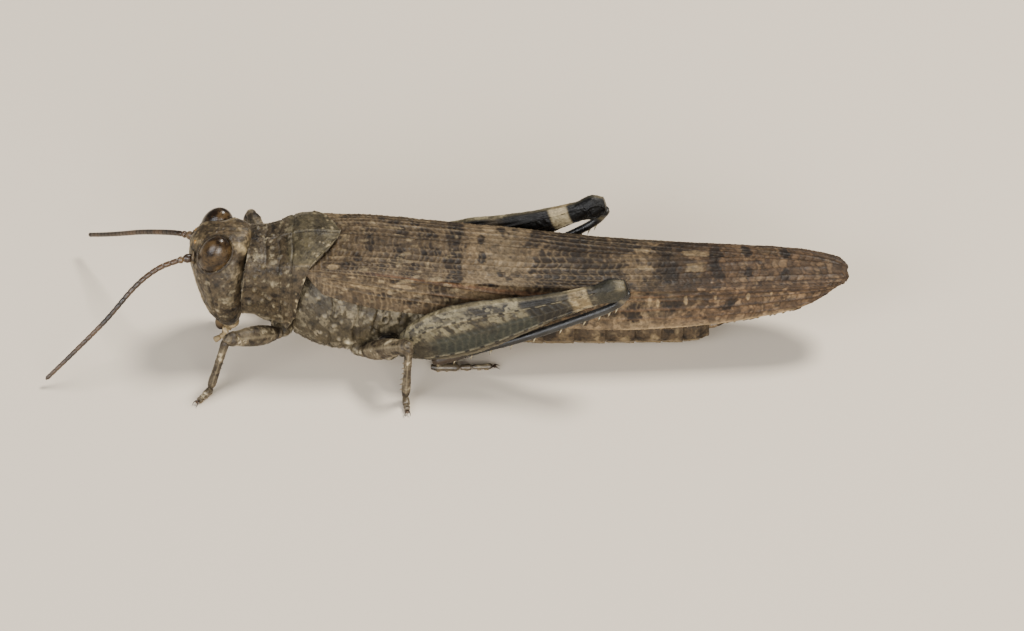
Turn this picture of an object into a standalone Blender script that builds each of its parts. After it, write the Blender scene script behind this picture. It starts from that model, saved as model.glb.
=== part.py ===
"""Grasshopper at rest, life size. Head towards -X, left side towards -Y, +Z up, floor at Z = 0.

All named sizes are in millimetres and are turned into metres by MM.
"""
import bpy
import bmesh
from math import cos, sin, pi
from mathutils import Vector

MM = 0.001
GAP = 0.12             # between neighbouring pieces

SHELL_T = 0.5          # pronotum and wing covers
SEAM_Y = 0.06          # half the seam between the two wing covers
SIDES = (("left", -1.0), ("right", 1.0))
ACROSS = (0.0, 1.0, 0.0)
ALONG = (1.0, 0.0, 0.0)

COLOURS = {            # linear base colour, roughness
    "head": ((0.150, 0.122, 0.092), 0.55),
    "mouth": ((0.300, 0.270, 0.220), 0.50),
    "eye": ((0.045, 0.022, 0.014), 0.15),
    "antenna": ((0.060, 0.035, 0.022), 0.45),
    "pronotum": ((0.115, 0.108, 0.082), 0.60),
    "thorax": ((0.150, 0.138, 0.112), 0.60),
    "abdomen": ((0.210, 0.180, 0.135), 0.50),
    "wing_cover": ((0.120, 0.090, 0.065), 0.55),
    "hind_wing": ((0.160, 0.130, 0.090), 0.40),
    "leg": ((0.190, 0.170, 0.135), 0.55),
    "hind_femur": ((0.130, 0.120, 0.092), 0.50),
    "hind_tibia": ((0.055, 0.060, 0.068), 0.45),
}


def clear_scene():
    for ob in list(bpy.data.objects):
        bpy.data.objects.remove(ob, do_unlink=True)


def collection(name):
    col = bpy.data.collections.new(name)
    bpy.context.scene.collection.children.link(col)
    return col


def material(slot):
    mat = bpy.data.materials.get(slot)
    if mat is None:
        mat = bpy.data.materials.new(slot)
        mat.use_nodes = True
        colour, rough = COLOURS[slot]
        shader = mat.node_tree.nodes["Principled BSDF"]
        shader.inputs["Base Color"].default_value = (*colour, 1.0)
        shader.inputs["Roughness"].default_value = rough
        shader.inputs["Metallic"].default_value = 0.0
        mat.diffuse_color = (*colour, 1.0)
    return mat


def mesh_object(name, verts, faces, col, slot=None):
    me = bpy.data.meshes.new(name)
    me.from_pydata([(v[0] * MM, v[1] * MM, v[2] * MM) for v in verts], [], faces)
    bm = bmesh.new()
    bm.from_mesh(me)
    bmesh.ops.recalc_face_normals(bm, faces=bm.faces)
    for f in bm.faces:
        f.smooth = len(f.verts) == 4
    bm.to_mesh(me)
    bm.free()
    ob = bpy.data.objects.new(name, me)
    col.objects.link(ob)
    if slot:
        me.materials.append(material(slot))
    return ob


def table(rows, x):
    """Value or values at x, read from rows of (x, value, ...)."""
    if x <= rows[0][0]:
        return rows[0][1:]
    for lo, hi in zip(rows, rows[1:]):
        if x <= hi[0]:
            t = (x - lo[0]) / (hi[0] - lo[0])
            return tuple(a + (b - a) * t for a, b in zip(lo[1:], hi[1:]))
    return rows[-1][1:]


def power(value, exponent):
    """Power that keeps the sign, for superellipse sections."""
    return abs(value) ** exponent * (1.0 if value >= 0.0 else -1.0)


def loft(name, rings, col, slot=None):
    """Closed solid through rings of equal count, flat caps at both ends."""
    count = len(rings[0])
    verts = [p for ring in rings for p in ring]
    faces = []
    for i in range(len(rings) - 1):
        for j in range(count):
            k = (j + 1) % count
            faces.append((i * count + j, i * count + k, (i + 1) * count + k, (i + 1) * count + j))
    faces.append(tuple(range(count)))
    last = (len(rings) - 1) * count
    faces.append(tuple(range(last, last + count)))
    return mesh_object(name, verts, faces, col, slot)


def body_ring(x, half_w, z_low, z_mid, z_high, n_up, n_low, count=18):
    """Section across the body at x: one exponent above the widest level and one below it."""
    ring = []
    for j in range(count):
        a = 2.0 * pi * (j + 0.5) / count
        n = n_up if sin(a) >= 0.0 else n_low
        rise = (z_high - z_mid) if sin(a) >= 0.0 else (z_mid - z_low)
        ring.append((x, half_w * power(cos(a), 2.0 / n), z_mid + rise * power(sin(a), 2.0 / n)))
    return ring


def level_ring(z, x_front, x_back, half_w, count=18, n=2.2):
    """Horizontal section of the head at height z, a little wider at the back than at the face."""
    ring = []
    xc = 0.5 * (x_front + x_back)
    ax = 0.5 * (x_back - x_front)
    for j in range(count):
        a = 2.0 * pi * (j + 0.5) / count
        y = half_w * power(sin(a), 2.0 / n) * (1.0 + HEAD_FLARE * cos(a))
        ring.append((xc + ax * power(cos(a), 2.0 / n), y, z))
    return ring


def limb(name, path, half_w, half_h, side, col, slot, count=10, n=2.2):
    """Loft along a path; half_w is measured along side, half_h across it."""
    pts = [Vector(p) for p in path]
    rings = []
    for i, p in enumerate(pts):
        ahead = pts[min(i + 1, len(pts) - 1)]
        behind = pts[max(i - 1, 0)]
        d = (ahead - behind).normalized()
        s = Vector(side)
        s = (s - d * s.dot(d)).normalized()
        u = d.cross(s)
        ring = []
        for j in range(count):
            a = 2.0 * pi * (j + 0.5) / count
            wide = s * half_w[i] * power(cos(a), 2.0 / n)
            high = u * half_h[i] * power(sin(a), 2.0 / n)
            ring.append(tuple(p + wide + high))
        rings.append(ring)
    return loft(name, rings, col, slot)


def straight(a, b, shares):
    a = Vector(a)
    b = Vector(b)
    return [tuple(a.lerp(b, t)) for t in shares]


def shell(name, outer, inner, col, slot):
    """Closed curved plate from two grids of the same size, joined along their four edges."""
    nu = len(outer)
    nv = len(outer[0])
    verts = [p for row in outer for p in row] + [p for row in inner for p in row]
    off = nu * nv
    faces = []
    for i in range(nu - 1):
        for j in range(nv - 1):
            a = i * nv + j
            b = a + 1
            c = a + nv + 1
            d = a + nv
            faces.append((a, b, c, d))
            faces.append((off + d, off + c, off + b, off + a))
    for i in range(nu - 1):
        for j in (0, nv - 1):
            a = i * nv + j
            b = a + nv
            faces.append((a, b, off + b, off + a))
    for j in range(nv - 1):
        for i in (0, nu - 1):
            a = i * nv + j
            b = a + 1
            faces.append((a, b, off + b, off + a))
    return mesh_object(name, verts, faces, col, slot)


def egg(name, centre, radii, tilt, col, slot=None):
    """UV sphere stretched to radii; tilt leans its long axis towards -X at the lower end."""
    bm = bmesh.new()
    bmesh.ops.create_uvsphere(bm, u_segments=16, v_segments=10, radius=1.0)
    bmesh.ops.scale(bm, vec=[r * MM for r in radii], verts=bm.verts)
    me = bpy.data.meshes.new(name)
    bm.to_mesh(me)
    bm.free()
    me.shade_smooth()
    ob = bpy.data.objects.new(name, me)
    ob.location = [c * MM for c in centre]
    ob.rotation_euler = (0.0, tilt, 0.0)
    col.objects.link(ob)
    if slot:
        me.materials.append(material(slot))
    return ob


def rod(name, path, radius, col, slot):
    """Round rod along a path: a poly curve with a bevel and filled ends."""
    cu = bpy.data.curves.new(name, "CURVE")
    cu.dimensions = "3D"
    cu.bevel_depth = radius * MM
    cu.bevel_resolution = 2
    cu.use_fill_caps = True
    line = cu.splines.new("POLY")
    line.points.add(len(path) - 1)
    for point, p in zip(line.points, path):
        point.co = (p[0] * MM, p[1] * MM, p[2] * MM, 1.0)
    ob = bpy.data.objects.new(name, cu)
    col.objects.link(ob)
    cu.materials.append(material(slot))
    return ob


def cut(ob, cutter):
    mod = ob.modifiers.new("cut_" + cutter.name, "BOOLEAN")
    mod.operation = "DIFFERENCE"
    mod.solver = "EXACT"
    mod.object = cutter
    cutter.hide_render = True
    cutter.display_type = "WIRE"


# ------------------------------------------------------------------ head
HEAD_FLARE = 0.10       # extra width at the back, as a share
HEAD_LEVELS = [        # height, front, back, half width
    (1.95, -14.05, -12.85, 1.30), (2.60, -14.50, -12.72, 1.92), (3.60, -14.92, -12.62, 2.28),
    (4.80, -15.27, -12.52, 2.42), (5.90, -15.48, -12.42, 2.36), (6.80, -15.55, -12.28, 2.15),
    (7.50, -15.50, -12.15, 1.88), (8.05, -15.30, -12.15, 1.52), (8.42, -14.95, -12.40, 1.10),
    (8.60, -14.40, -12.95, 0.55)]
EYE_CENTRE = (-14.00, 1.42, 7.60)
EYE_RADII = (1.08, 0.98, 1.42)
EYE_TILT = 0.35         # radians
MOUTH_LEVELS = [(1.83, -14.00, -12.70, 0.60), (1.45, -13.95, -12.80, 0.56), (1.05, -13.75, -13.00, 0.45)]
PALP_PATH = [(-13.45, 0.95, 1.75), (-13.75, 1.15, 1.30), (-14.15, 1.30, 0.85)]
PALP_R = (0.26, 0.26, 0.25)


def build_head(col, cutters):
    head = loft("head", [level_ring(*row) for row in HEAD_LEVELS], col, "head")
    for word, side in SIDES:
        centre = (EYE_CENTRE[0], EYE_CENTRE[1] * side, EYE_CENTRE[2])
        egg("eye_" + word, centre, EYE_RADII, EYE_TILT, col, "eye")
        socket = egg("cut_eye_" + word, centre, [r + GAP for r in EYE_RADII], EYE_TILT, cutters)
        cut(head, socket)
        palp = [(x, y * side, z) for x, y, z in PALP_PATH]
        limb("palp_" + word, palp, PALP_R, PALP_R, ACROSS, col, "mouth", 8)
    loft("mouthparts", [level_ring(*row, 14) for row in MOUTH_LEVELS], col, "mouth")


SCAPE_R = 0.36
FLAGELLUM_R = 0.26
ANTENNA_PATHS = {
    "left": [(-15.40, -1.00, 7.10), (-16.45, -1.32, 7.05), (-17.60, -1.80, 6.80), (-18.90, -2.50, 6.00),
             (-20.70, -3.40, 4.10), (-22.60, -4.10, 2.25), (-24.35, -4.72, 0.62)],
    "right": [(-15.40, 1.00, 7.15), (-16.45, 1.60, 6.85), (-17.60, 2.70, 6.00), (-18.90, 4.00, 4.90),
              (-20.20, 5.40, 3.60), (-21.30, 6.50, 2.60), (-22.35, 7.60, 1.65)],
}
ANTENNA_LENGTHS = {"scape": (0, 1), "flagellum_a": (1, 3), "flagellum_b": (3, 5), "flagellum_c": (5, 6)}


def build_antennae(col):
    for word, path in ANTENNA_PATHS.items():
        for part, (start, end) in ANTENNA_LENGTHS.items():
            pts = [Vector(p) for p in path[start:end + 1]]
            pts[0] = pts[0].lerp(pts[1], 0.5 * GAP / (pts[1] - pts[0]).length)
            pts[-1] = pts[-1].lerp(pts[-2], 0.5 * GAP / (pts[-1] - pts[-2]).length)
            radius = SCAPE_R if part == "scape" else FLAGELLUM_R
            rod("antenna_%s_%s" % (part, word), pts, radius, col, "antenna")


# ------------------------------------------------------------------ thorax
PRONOTUM_ROWS = [      # x, half width, top, lower margin
    (-12.45, 2.22, 7.82, 3.50), (-11.60, 2.24, 7.88, 3.40), (-10.90, 2.32, 7.86, 3.22),
    (-10.30, 2.50, 7.98, 3.00), (-9.60, 2.76, 8.26, 2.65), (-8.80, 2.86, 8.46, 2.45),
    (-7.80, 2.90, 8.50, 2.45), (-6.40, 2.88, 8.40, 2.60)]
PRONOTUM_PROFILE = [   # share of the half width, share of the height above the lower margin
    (0.00, 1.000), (0.10, 0.982), (0.36, 0.974), (0.66, 0.948), (0.86, 0.895), (0.95, 0.800), (1.00, 0.620),
    (1.00, 0.420), (0.97, 0.200), (0.91, 0.000)]
PRONOTUM_MARGINS = [   # front and rear edge at each point of the profile
    (-11.80, -6.40), (-11.80, -6.52), (-11.80, -6.90), (-11.84, -7.50), (-11.90, -8.05), (-12.00, -8.40),
    (-12.12, -8.75), (-12.24, -9.05), (-12.34, -9.30), (-12.40, -9.75)]
PRONOTUM_STATIONS = (0.0, 0.12, 0.26, 0.42, 0.60, 0.80, 1.0)
THORAX_ROWS = [        # x, half width, belly, widest level, back
    (-9.00, 2.10, 1.35, 3.40, 6.60), (-8.30, 2.62, 1.00, 3.30, 6.80), (-7.40, 2.98, 0.75, 3.20, 6.95),
    (-6.00, 3.25, 0.60, 3.10, 7.00), (-4.60, 3.28, 0.55, 3.05, 6.95), (-3.40, 3.05, 0.55, 3.10, 6.80),
    (-2.20, 2.90, 0.55, 3.10, 6.65), (-0.60, 2.75, 0.58, 3.10, 6.30), (0.35, 2.62, 0.65, 3.10, 5.95)]
THORAX_FULLNESS = (2.0, 3.2)   # section exponents above and below the widest level
PROTHORAX_FULLNESS = (2.3, 2.6)
PROTHORAX_ROWS = [
    (-12.10, 1.40, 2.70, 4.60, 6.90), (-11.20, 1.55, 1.80, 4.40, 6.95), (-10.20, 1.72, 1.40, 4.20, 7.05),
    (-9.12, 1.80, 1.30, 4.00, 7.10)]


def pronotum_point(u, j, inset):
    share_y, share_z = PRONOTUM_PROFILE[abs(j)]
    x_front, x_rear = PRONOTUM_MARGINS[abs(j)]
    x = x_front + (x_rear - x_front) * u
    half_w, top, low = table(PRONOTUM_ROWS, x)
    y = (half_w - inset) * share_y
    z = low + (top - inset - low) * share_z
    return (x, y if j > 0 else -y, z)


def body_loft(name, rows, fullness, grow, col, slot=None):
    rings = []
    for x, half_w, low, mid, high in rows:
        rings.append(body_ring(x, half_w + grow, low - grow, mid, high + grow, *fullness))
    return loft(name, rings, col, slot)


def build_thorax(col, cutters):
    """Builds the plates and returns the two cutters that clear the coxae from the body."""
    last = len(PRONOTUM_PROFILE) - 1
    span = range(-last, last + 1)
    outer = [[pronotum_point(u, j, 0.0) for j in span] for u in PRONOTUM_STATIONS]
    inner = [[pronotum_point(u, j, SHELL_T) for j in span] for u in PRONOTUM_STATIONS]
    shell("pronotum", outer, inner, col, "pronotum")
    body_loft("prothorax", PROTHORAX_ROWS, PROTHORAX_FULLNESS, 0.0, col, "thorax")
    body_loft("thorax", THORAX_ROWS, THORAX_FULLNESS, 0.0, col, "thorax")
    front = body_loft("cut_prothorax", PROTHORAX_ROWS, PROTHORAX_FULLNESS, GAP, cutters)
    rear = body_loft("cut_thorax", THORAX_ROWS, THORAX_FULLNESS, GAP, cutters)
    return (front, rear)


# ------------------------------------------------------------------ abdomen
ABDOMEN_ROWS = [       # x, half width, belly, widest level, back
    (0.50, 2.52, 0.66, 3.00, 5.45), (3.00, 2.50, 0.55, 2.85, 5.20), (6.50, 2.42, 0.42, 2.60, 4.75),
    (10.00, 2.22, 0.34, 2.30, 4.20), (12.60, 2.05, 0.30, 2.10, 3.75), (14.60, 1.86, 0.30, 1.95, 3.35),
    (15.60, 1.55, 0.36, 1.80, 2.95), (16.30, 1.00, 0.62, 1.65, 2.40)]
ABDOMEN_FULLNESS = (2.1, 2.7)
ABDOMEN_PIECES = {
    "abdomen_front": (0.48, 2.2, 3.9, 5.5),
    "abdomen_middle": (5.62, 7.2, 8.7, 10.1),
    "abdomen_rear": (10.22, 11.6, 13.0, 14.3),
}
ABDOMEN_TIP = (14.42, 15.0, 15.6, 16.0)
RING_STEP = 0.10        # each ring starts this much slimmer, under the one before it
RING_START = 0.12
RING_SLOPE = 0.30
VALVE_PATH = [(16.12, 0.36, 1.50), (16.5, 0.34, 1.52), (16.9, 0.32, 1.70)]
VALVE_HALF_W = (0.28, 0.28, 0.25)
VALVE_HALF_H = (0.50, 0.40, 0.25)


def abdomen_ring(x, inset):
    half_w, low, mid, high = table(ABDOMEN_ROWS, x)
    return body_ring(x, half_w - inset, low + inset, mid, high - inset, *ABDOMEN_FULLNESS, 16)


def build_abdomen(col):
    for name, stops in ABDOMEN_PIECES.items():
        rings = []
        for a, b in zip(stops, stops[1:]):
            start = a if a == stops[0] else a + RING_START
            rings.append(abdomen_ring(start, RING_STEP))
            rings.append(abdomen_ring(a + RING_SLOPE, 0.0))
            rings.append(abdomen_ring(b, 0.02))
        loft(name, rings, col, "abdomen")
    loft("abdomen_tip", [abdomen_ring(x, 0.05) for x in ABDOMEN_TIP], col, "abdomen")
    for word, side in SIDES:
        valve = [(x, y * side, z) for x, y, z in VALVE_PATH]
        limb("ovipositor_" + word, valve, VALVE_HALF_W, VALVE_HALF_H, ACROSS, col, "abdomen", 8)


# ------------------------------------------------------------------ wings
WING_ROWS = [          # x, top, half width of the flat top, half width at the lower edge, lower edge
    (-8.00, 7.75, 2.55, 3.05, 6.10), (-5.00, 7.75, 2.70, 3.25, 5.10), (-1.00, 7.30, 2.70, 3.28, 4.45),
    (4.00, 6.75, 2.62, 3.22, 3.75), (9.00, 6.25, 2.40, 3.05, 3.00), (14.00, 6.00, 2.15, 2.80, 2.90),
    (18.00, 5.85, 1.90, 2.50, 3.15), (21.00, 5.62, 1.62, 2.05, 3.62), (23.00, 5.35, 1.25, 1.55, 3.98),
    (24.00, 5.15, 0.90, 1.10, 4.22), (24.55, 4.95, 0.60, 0.66, 4.45)]
WING_PROFILE = [       # share along the flat top, then share of the way down the side
    (0.0, 0.00), (0.45, 0.015), (0.80, 0.05), (1.0, 0.16), (1.0, 0.40), (1.0, 0.72), (1.0, 1.00)]
WING_STARTS = (-6.25, -6.95, -7.60, -7.95, -7.90, -7.60, -7.20)
WING_STATIONS = (0.0, 0.06, 0.14, 0.24, 0.36, 0.48, 0.60, 0.72, 0.82, 0.90, 0.95, 0.98, 1.0)
WING_TIP_X = WING_ROWS[-1][0]
HIND_WING_STATIONS = (0.9, 5.0, 10.0, 15.0, 19.0, 22.0)
HIND_WING_SECTION = [  # share of the half width, depth below the top of the folded wing
    (0.0, 0.00), (0.7, 0.06), (1.0, 0.20), (1.0, 0.55), (0.7, 0.62), (0.0, 0.60)]
HIND_WING_INSET = SHELL_T + 0.35


def wing_point(u, j, side):
    x = WING_STARTS[j] + (WING_TIP_X - WING_STARTS[j]) * u
    top, half_top, half_low, low = table(WING_ROWS, x)
    share, down = WING_PROFILE[j]
    y = SEAM_Y + (half_top - SEAM_Y) * share + (half_low - half_top) * down
    return Vector((x, y * side, top + (low - top) * down))


def wing_inner(row, side):
    """The same section moved inwards by the plate's thickness, kept clear of the seam."""
    out = []
    for j, p in enumerate(row):
        a = row[max(j - 1, 0)]
        b = row[min(j + 1, len(row) - 1)]
        d = b - a
        n = Vector((0.0, d.z, -d.y)).normalized()
        if n.z + n.y * side > 0.0:
            n = -n
        if j == 0:
            n = Vector((0.0, 0.0, -1.0))
        q = p + n * SHELL_T
        q.y = max(q.y * side, SEAM_Y) * side
        out.append(q)
    return out


def build_wings(col):
    for word, side in SIDES:
        outer = [[wing_point(u, j, side) for j in range(len(WING_PROFILE))] for u in WING_STATIONS]
        inner = [wing_inner(row, side) for row in outer]
        shell("tegmen_" + word, outer, inner, col, "wing_cover")
        rings = []
        for x in HIND_WING_STATIONS:
            top, half_top = table(WING_ROWS, x)[:2]
            y_out = half_top - HIND_WING_INSET
            z_top = top - SHELL_T - 1.4 * GAP
            ring = []
            for share, depth in HIND_WING_SECTION:
                ring.append((x, max(share * y_out, SEAM_Y) * side, z_top - depth))
            rings.append(ring)
        loft("hind_wing_" + word, rings, col, "hind_wing")


# ------------------------------------------------------------------ legs
LEGS = {               # hip, knee, ankle, tip of the foot
    "fore_left": ((-10.05, -2.30, 2.20), (-13.30, -4.95, 3.95), (-14.35, -5.35, 0.80), (-15.30, -6.65, 0.0)),
    "fore_right": ((-10.05, 2.30, 2.20), (-12.20, 5.95, 4.85), (-13.60, 6.10, 0.80), (-14.60, 7.25, 0.0)),
    "mid_left": ((-5.30, -3.35, 1.55), (-2.25, -5.80, 4.20), (-2.50, -6.15, 0.80), (-2.35, -7.60, 0.0)),
    "mid_right": ((-5.30, 3.35, 1.55), (-2.60, 5.45, 3.70), (-2.20, 6.00, 0.80), (-1.80, 7.45, 0.0)),
    "hind_left": ((-2.95, -3.95, 2.35), (10.80, -4.35, 7.65), (-0.90, -3.35, 0.80), (3.20, -3.15, 0.0)),
    "hind_right": ((-3.10, 3.95, 2.22), (9.65, 4.30, 6.95), (-1.10, 3.45, 0.78), (3.00, 3.60, 0.0)),
}
COXA_INNER = Vector((0.0, -1.30, 0.10))      # from the hip towards the body, for the right side
COXA_OUTER = Vector((0.0, -0.45, 0.05))
COXA_REACH = 0.30
COXA_HALF_W = (0.75, 0.72, 0.40)
COXA_HALF_H = (0.62, 0.60, 0.38)
FEMUR_SHARES = (0.0, 0.15, 0.5, 0.85, 0.97)
FEMUR_HALF_W = (0.30, 0.46, 0.52, 0.40, 0.32)
FEMUR_HALF_H = (0.34, 0.55, 0.62, 0.46, 0.34)
FEMUR_START = 0.44
TIBIA_START = 0.50
TIBIA_SHARES = (0.0, 0.12, 0.6, 1.0)
TIBIA_R = (0.30, 0.30, 0.27, 0.27)
HIND_COXA_PATH = [Vector((-0.65, -2.00, -0.25)), Vector((-0.60, -0.80, -0.50)), Vector((-0.48, -0.20, -0.25))]
HIND_COXA_HALF_W = (1.00, 0.90, 0.40)
HIND_COXA_HALF_H = (1.00, 0.90, 0.42)
HIND_FEMUR_PROFILE = [   # share of length, half depth, half thickness, lift of the centre line
    (0.00, 0.50, 0.42, 0.00), (0.05, 1.05, 0.55, 0.05), (0.14, 1.55, 0.70, 0.12), (0.26, 1.80, 0.78, 0.12),
    (0.38, 1.70, 0.76, 0.08), (0.52, 1.30, 0.66, 0.04), (0.66, 0.92, 0.54, 0.02), (0.80, 0.68, 0.46, 0.00),
    (0.88, 0.66, 0.46, 0.00), (0.945, 0.82, 0.54, 0.00), (1.00, 0.50, 0.36, -0.05)]
HIND_KNEE_JOINT = Vector((-0.35, 0.0, -1.50))    # head of the tibia, from the femur's knee
HIND_TIBIA_SAG = Vector((0.0, 0.0, -0.28))
HIND_TIBIA_R = (0.30, 0.33, 0.30, 0.35, 0.30)
FOOT_HALF_W = 0.32
HIND_FOOT_HALF_W = 0.34
FOOT_HEIGHT = 0.55
FOOT_RINGS = [          # share of the length, share of the width, share of the height
    (-0.06, 0.75, 0.75), (0.10, 1.00, 1.00), (0.45, 0.92, 0.92), (0.80, 0.85, 0.90), (1.00, 0.80, 0.85)]
FOOT_SECTION = [        # share of the half width, share of the height; the sole is the flat at 0
    (-0.85, 0.0), (-1.0, 0.35), (-0.8, 0.8), (-0.3, 1.0), (0.3, 1.0), (0.8, 0.8), (1.0, 0.35), (0.85, 0.0)]


def foot(name, heel, tip, half_w, col, slot):
    """Low foot lying on the floor, its sole flat at Z = 0."""
    a = Vector((heel.x, heel.y, 0.0))
    b = Vector((tip.x, tip.y, 0.0))
    d = (b - a).normalized()
    s = Vector((-d.y, d.x, 0.0))
    rings = []
    for t, wide, high in FOOT_RINGS:
        p = a.lerp(b, t)
        ring = []
        for y, z in FOOT_SECTION:
            ring.append(tuple(p + s * y * half_w * wide + Vector((0.0, 0.0, z * FOOT_HEIGHT * high))))
        rings.append(ring)
    return loft(name, rings, col, slot)


def build_walking_leg(name, side, hip, knee, ankle, tip, col, body_cutters):
    mirror = Vector((1.0, side, 1.0))
    out = (knee - hip).normalized()
    root = [hip + COXA_INNER * mirror, hip + COXA_OUTER * mirror, hip + out * COXA_REACH]
    coxa = limb("coxa_" + name, root, COXA_HALF_W, COXA_HALF_H, ALONG, col, "leg", 10)
    for cutter in body_cutters:
        cut(coxa, cutter)
    femur = straight(hip + out * FEMUR_START, knee, FEMUR_SHARES)
    limb("femur_" + name, femur, FEMUR_HALF_W, FEMUR_HALF_H, ALONG, col, "leg", 10)
    down = (ankle - knee).normalized()
    tibia = straight(knee + down * TIBIA_START, ankle - down * 0.1, TIBIA_SHARES)
    limb("tibia_" + name, tibia, TIBIA_R, TIBIA_R, ALONG, col, "leg", 8)
    foot("tarsus_" + name, ankle, tip, FOOT_HALF_W, col, "leg")


def build_hind_leg(name, side, hip, knee, ankle, tip, col, body_cutters):
    """Jumping leg, folded: the tibia lies under the femur."""
    mirror = Vector((1.0, side, 1.0))
    root = [hip + step * mirror for step in HIND_COXA_PATH]
    coxa = limb("coxa_" + name, root, HIND_COXA_HALF_W, HIND_COXA_HALF_H, ALONG, col, "leg", 10)
    for cutter in body_cutters:
        cut(coxa, cutter)
    axis = knee - hip
    up = Vector((-axis.z, 0.0, axis.x)).normalized()
    femur = [hip + axis * share + up * lift for share, depth, thick, lift in HIND_FEMUR_PROFILE]
    depths = [row[1] for row in HIND_FEMUR_PROFILE]
    thicks = [row[2] for row in HIND_FEMUR_PROFILE]
    limb("femur_" + name, femur, thicks, depths, ACROSS, col, "hind_femur", 12, 2.4)
    top = knee + HIND_KNEE_JOINT
    middle = top.lerp(ankle, 0.5) + HIND_TIBIA_SAG
    tibia = [top, top.lerp(middle, 0.10), middle, middle.lerp(ankle, 0.94), ankle - Vector((0.1, 0.0, 0.0))]
    limb("tibia_" + name, tibia, HIND_TIBIA_R, HIND_TIBIA_R, ACROSS, col, "hind_tibia", 8)
    foot("tarsus_" + name, ankle + Vector((0.05, 0.0, 0.0)), tip, HIND_FOOT_HALF_W, col, "hind_tibia")


def build_legs(col, body_cutters):
    for name, stations in LEGS.items():
        side = -1.0 if "left" in name else 1.0
        hip, knee, ankle, tip = [Vector(p) for p in stations]
        build = build_hind_leg if "hind" in name else build_walking_leg
        build(name, side, hip, knee, ankle, tip, col, body_cutters)


def main():
    clear_scene()
    col = collection("grasshopper")
    cutters = collection("cutters")
    cutters.hide_render = True
    build_head(col, cutters)
    build_antennae(col)
    body_cutters = build_thorax(col, cutters)
    build_abdomen(col)
    build_wings(col)
    build_legs(col, body_cutters)


main()
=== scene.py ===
"""Looks of the grasshopper: detailed cuticle, wings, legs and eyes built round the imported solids.

Named sizes are in millimetres, turned into metres by MM. Head towards -X, left side towards -Y, +Z up.
"""
from math import cos, pi, radians, sin

import bpy
import numpy as np
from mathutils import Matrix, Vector


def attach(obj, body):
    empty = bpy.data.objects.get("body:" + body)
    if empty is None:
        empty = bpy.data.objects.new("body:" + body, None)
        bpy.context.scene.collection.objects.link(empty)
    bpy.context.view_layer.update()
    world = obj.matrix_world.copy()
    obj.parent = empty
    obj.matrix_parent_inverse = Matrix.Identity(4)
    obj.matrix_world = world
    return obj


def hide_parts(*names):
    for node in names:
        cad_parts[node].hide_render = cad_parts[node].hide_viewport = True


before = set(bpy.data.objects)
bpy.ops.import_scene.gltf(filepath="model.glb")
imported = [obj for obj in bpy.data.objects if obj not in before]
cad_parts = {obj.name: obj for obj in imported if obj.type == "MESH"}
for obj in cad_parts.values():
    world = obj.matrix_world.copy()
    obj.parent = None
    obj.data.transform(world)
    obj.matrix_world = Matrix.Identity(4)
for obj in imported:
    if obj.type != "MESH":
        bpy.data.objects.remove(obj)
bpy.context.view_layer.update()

MM = 0.001
RNG = np.random.default_rng(7)
PAINT_POWER = 1.28                # deepens all markings together
PAINT_GAIN = 0.98

# ---------------------------------------------------------------- numeric helpers


def catmull(rows, count):
    """Smooth curve through rows of numbers, sampled evenly in row number."""
    p = np.asarray(rows, float)
    p = np.vstack([2 * p[0] - p[1], p, 2 * p[-1] - p[-2]])
    t = np.linspace(0, len(rows) - 1, count)
    i = np.minimum(t.astype(int), len(rows) - 2)
    f = (t - i)[:, None]
    a, b, c, d = p[i], p[i + 1], p[i + 2], p[i + 3]
    return 0.5 * (2 * b + (c - a) * f + (2 * a - 5 * b + 4 * c - d) * f ** 2 + (3 * b - a - 3 * c + d) * f ** 3)


def table(rows, x):
    """Columns of a table read at x with smooth slopes between its rows."""
    r = np.asarray(rows, float)
    x = np.asarray(x, float)
    out = []
    for k in range(1, r.shape[1]):
        slope = np.gradient(r[:, k], r[:, 0])
        i = np.clip(np.searchsorted(r[:, 0], x) - 1, 0, len(r) - 2)
        h = r[i + 1, 0] - r[i, 0]
        t = np.clip((x - r[i, 0]) / h, 0, 1)
        y0, y1, m0, m1 = r[i, k], r[i + 1, k], slope[i] * h, slope[i + 1] * h
        out.append((2 * t ** 3 - 3 * t ** 2 + 1) * y0 + (t ** 3 - 2 * t ** 2 + t) * m0
                   + (3 * t ** 2 - 2 * t ** 3) * y1 + (t ** 3 - t ** 2) * m1)
    return out


def power(v, e):
    return np.sign(v) * np.abs(v) ** e


def hashed(i, j, k, seed):
    n = (i * 374761393 + j * 668265263 + k * 2147483647 + seed * 974634777) & 0xFFFFFFFF
    n = ((n ^ (n >> 13)) * 1274126177) & 0xFFFFFFFF
    return ((n ^ (n >> 16)) & 0xFFFFFF) / float(0xFFFFFF)


def noise(p, cell, seed=0):
    """Smooth value noise from -1 to 1 on points p, with features about one cell wide."""
    q = np.asarray(p, float) / cell + 1000.0
    i = np.floor(q).astype(np.int64)
    f = q - i
    f = f * f * (3 - 2 * f)
    total = np.zeros(q.shape[:-1])
    for a in (0, 1):
        for b in (0, 1):
            for c in (0, 1):
                w = ((f[..., 0] if a else 1 - f[..., 0]) * (f[..., 1] if b else 1 - f[..., 1])
                     * (f[..., 2] if c else 1 - f[..., 2]))
                total += w * hashed(i[..., 0] + a, i[..., 1] + b, i[..., 2] + c, seed)
    return 2 * total - 1


def fbm(p, cell, seed=0, octaves=3):
    total, gain = 0.0, 1.0
    for k in range(octaves):
        total = total + gain * noise(p, cell / 2 ** k, seed + 17 * k)
        gain *= 0.5
    return total


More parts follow.
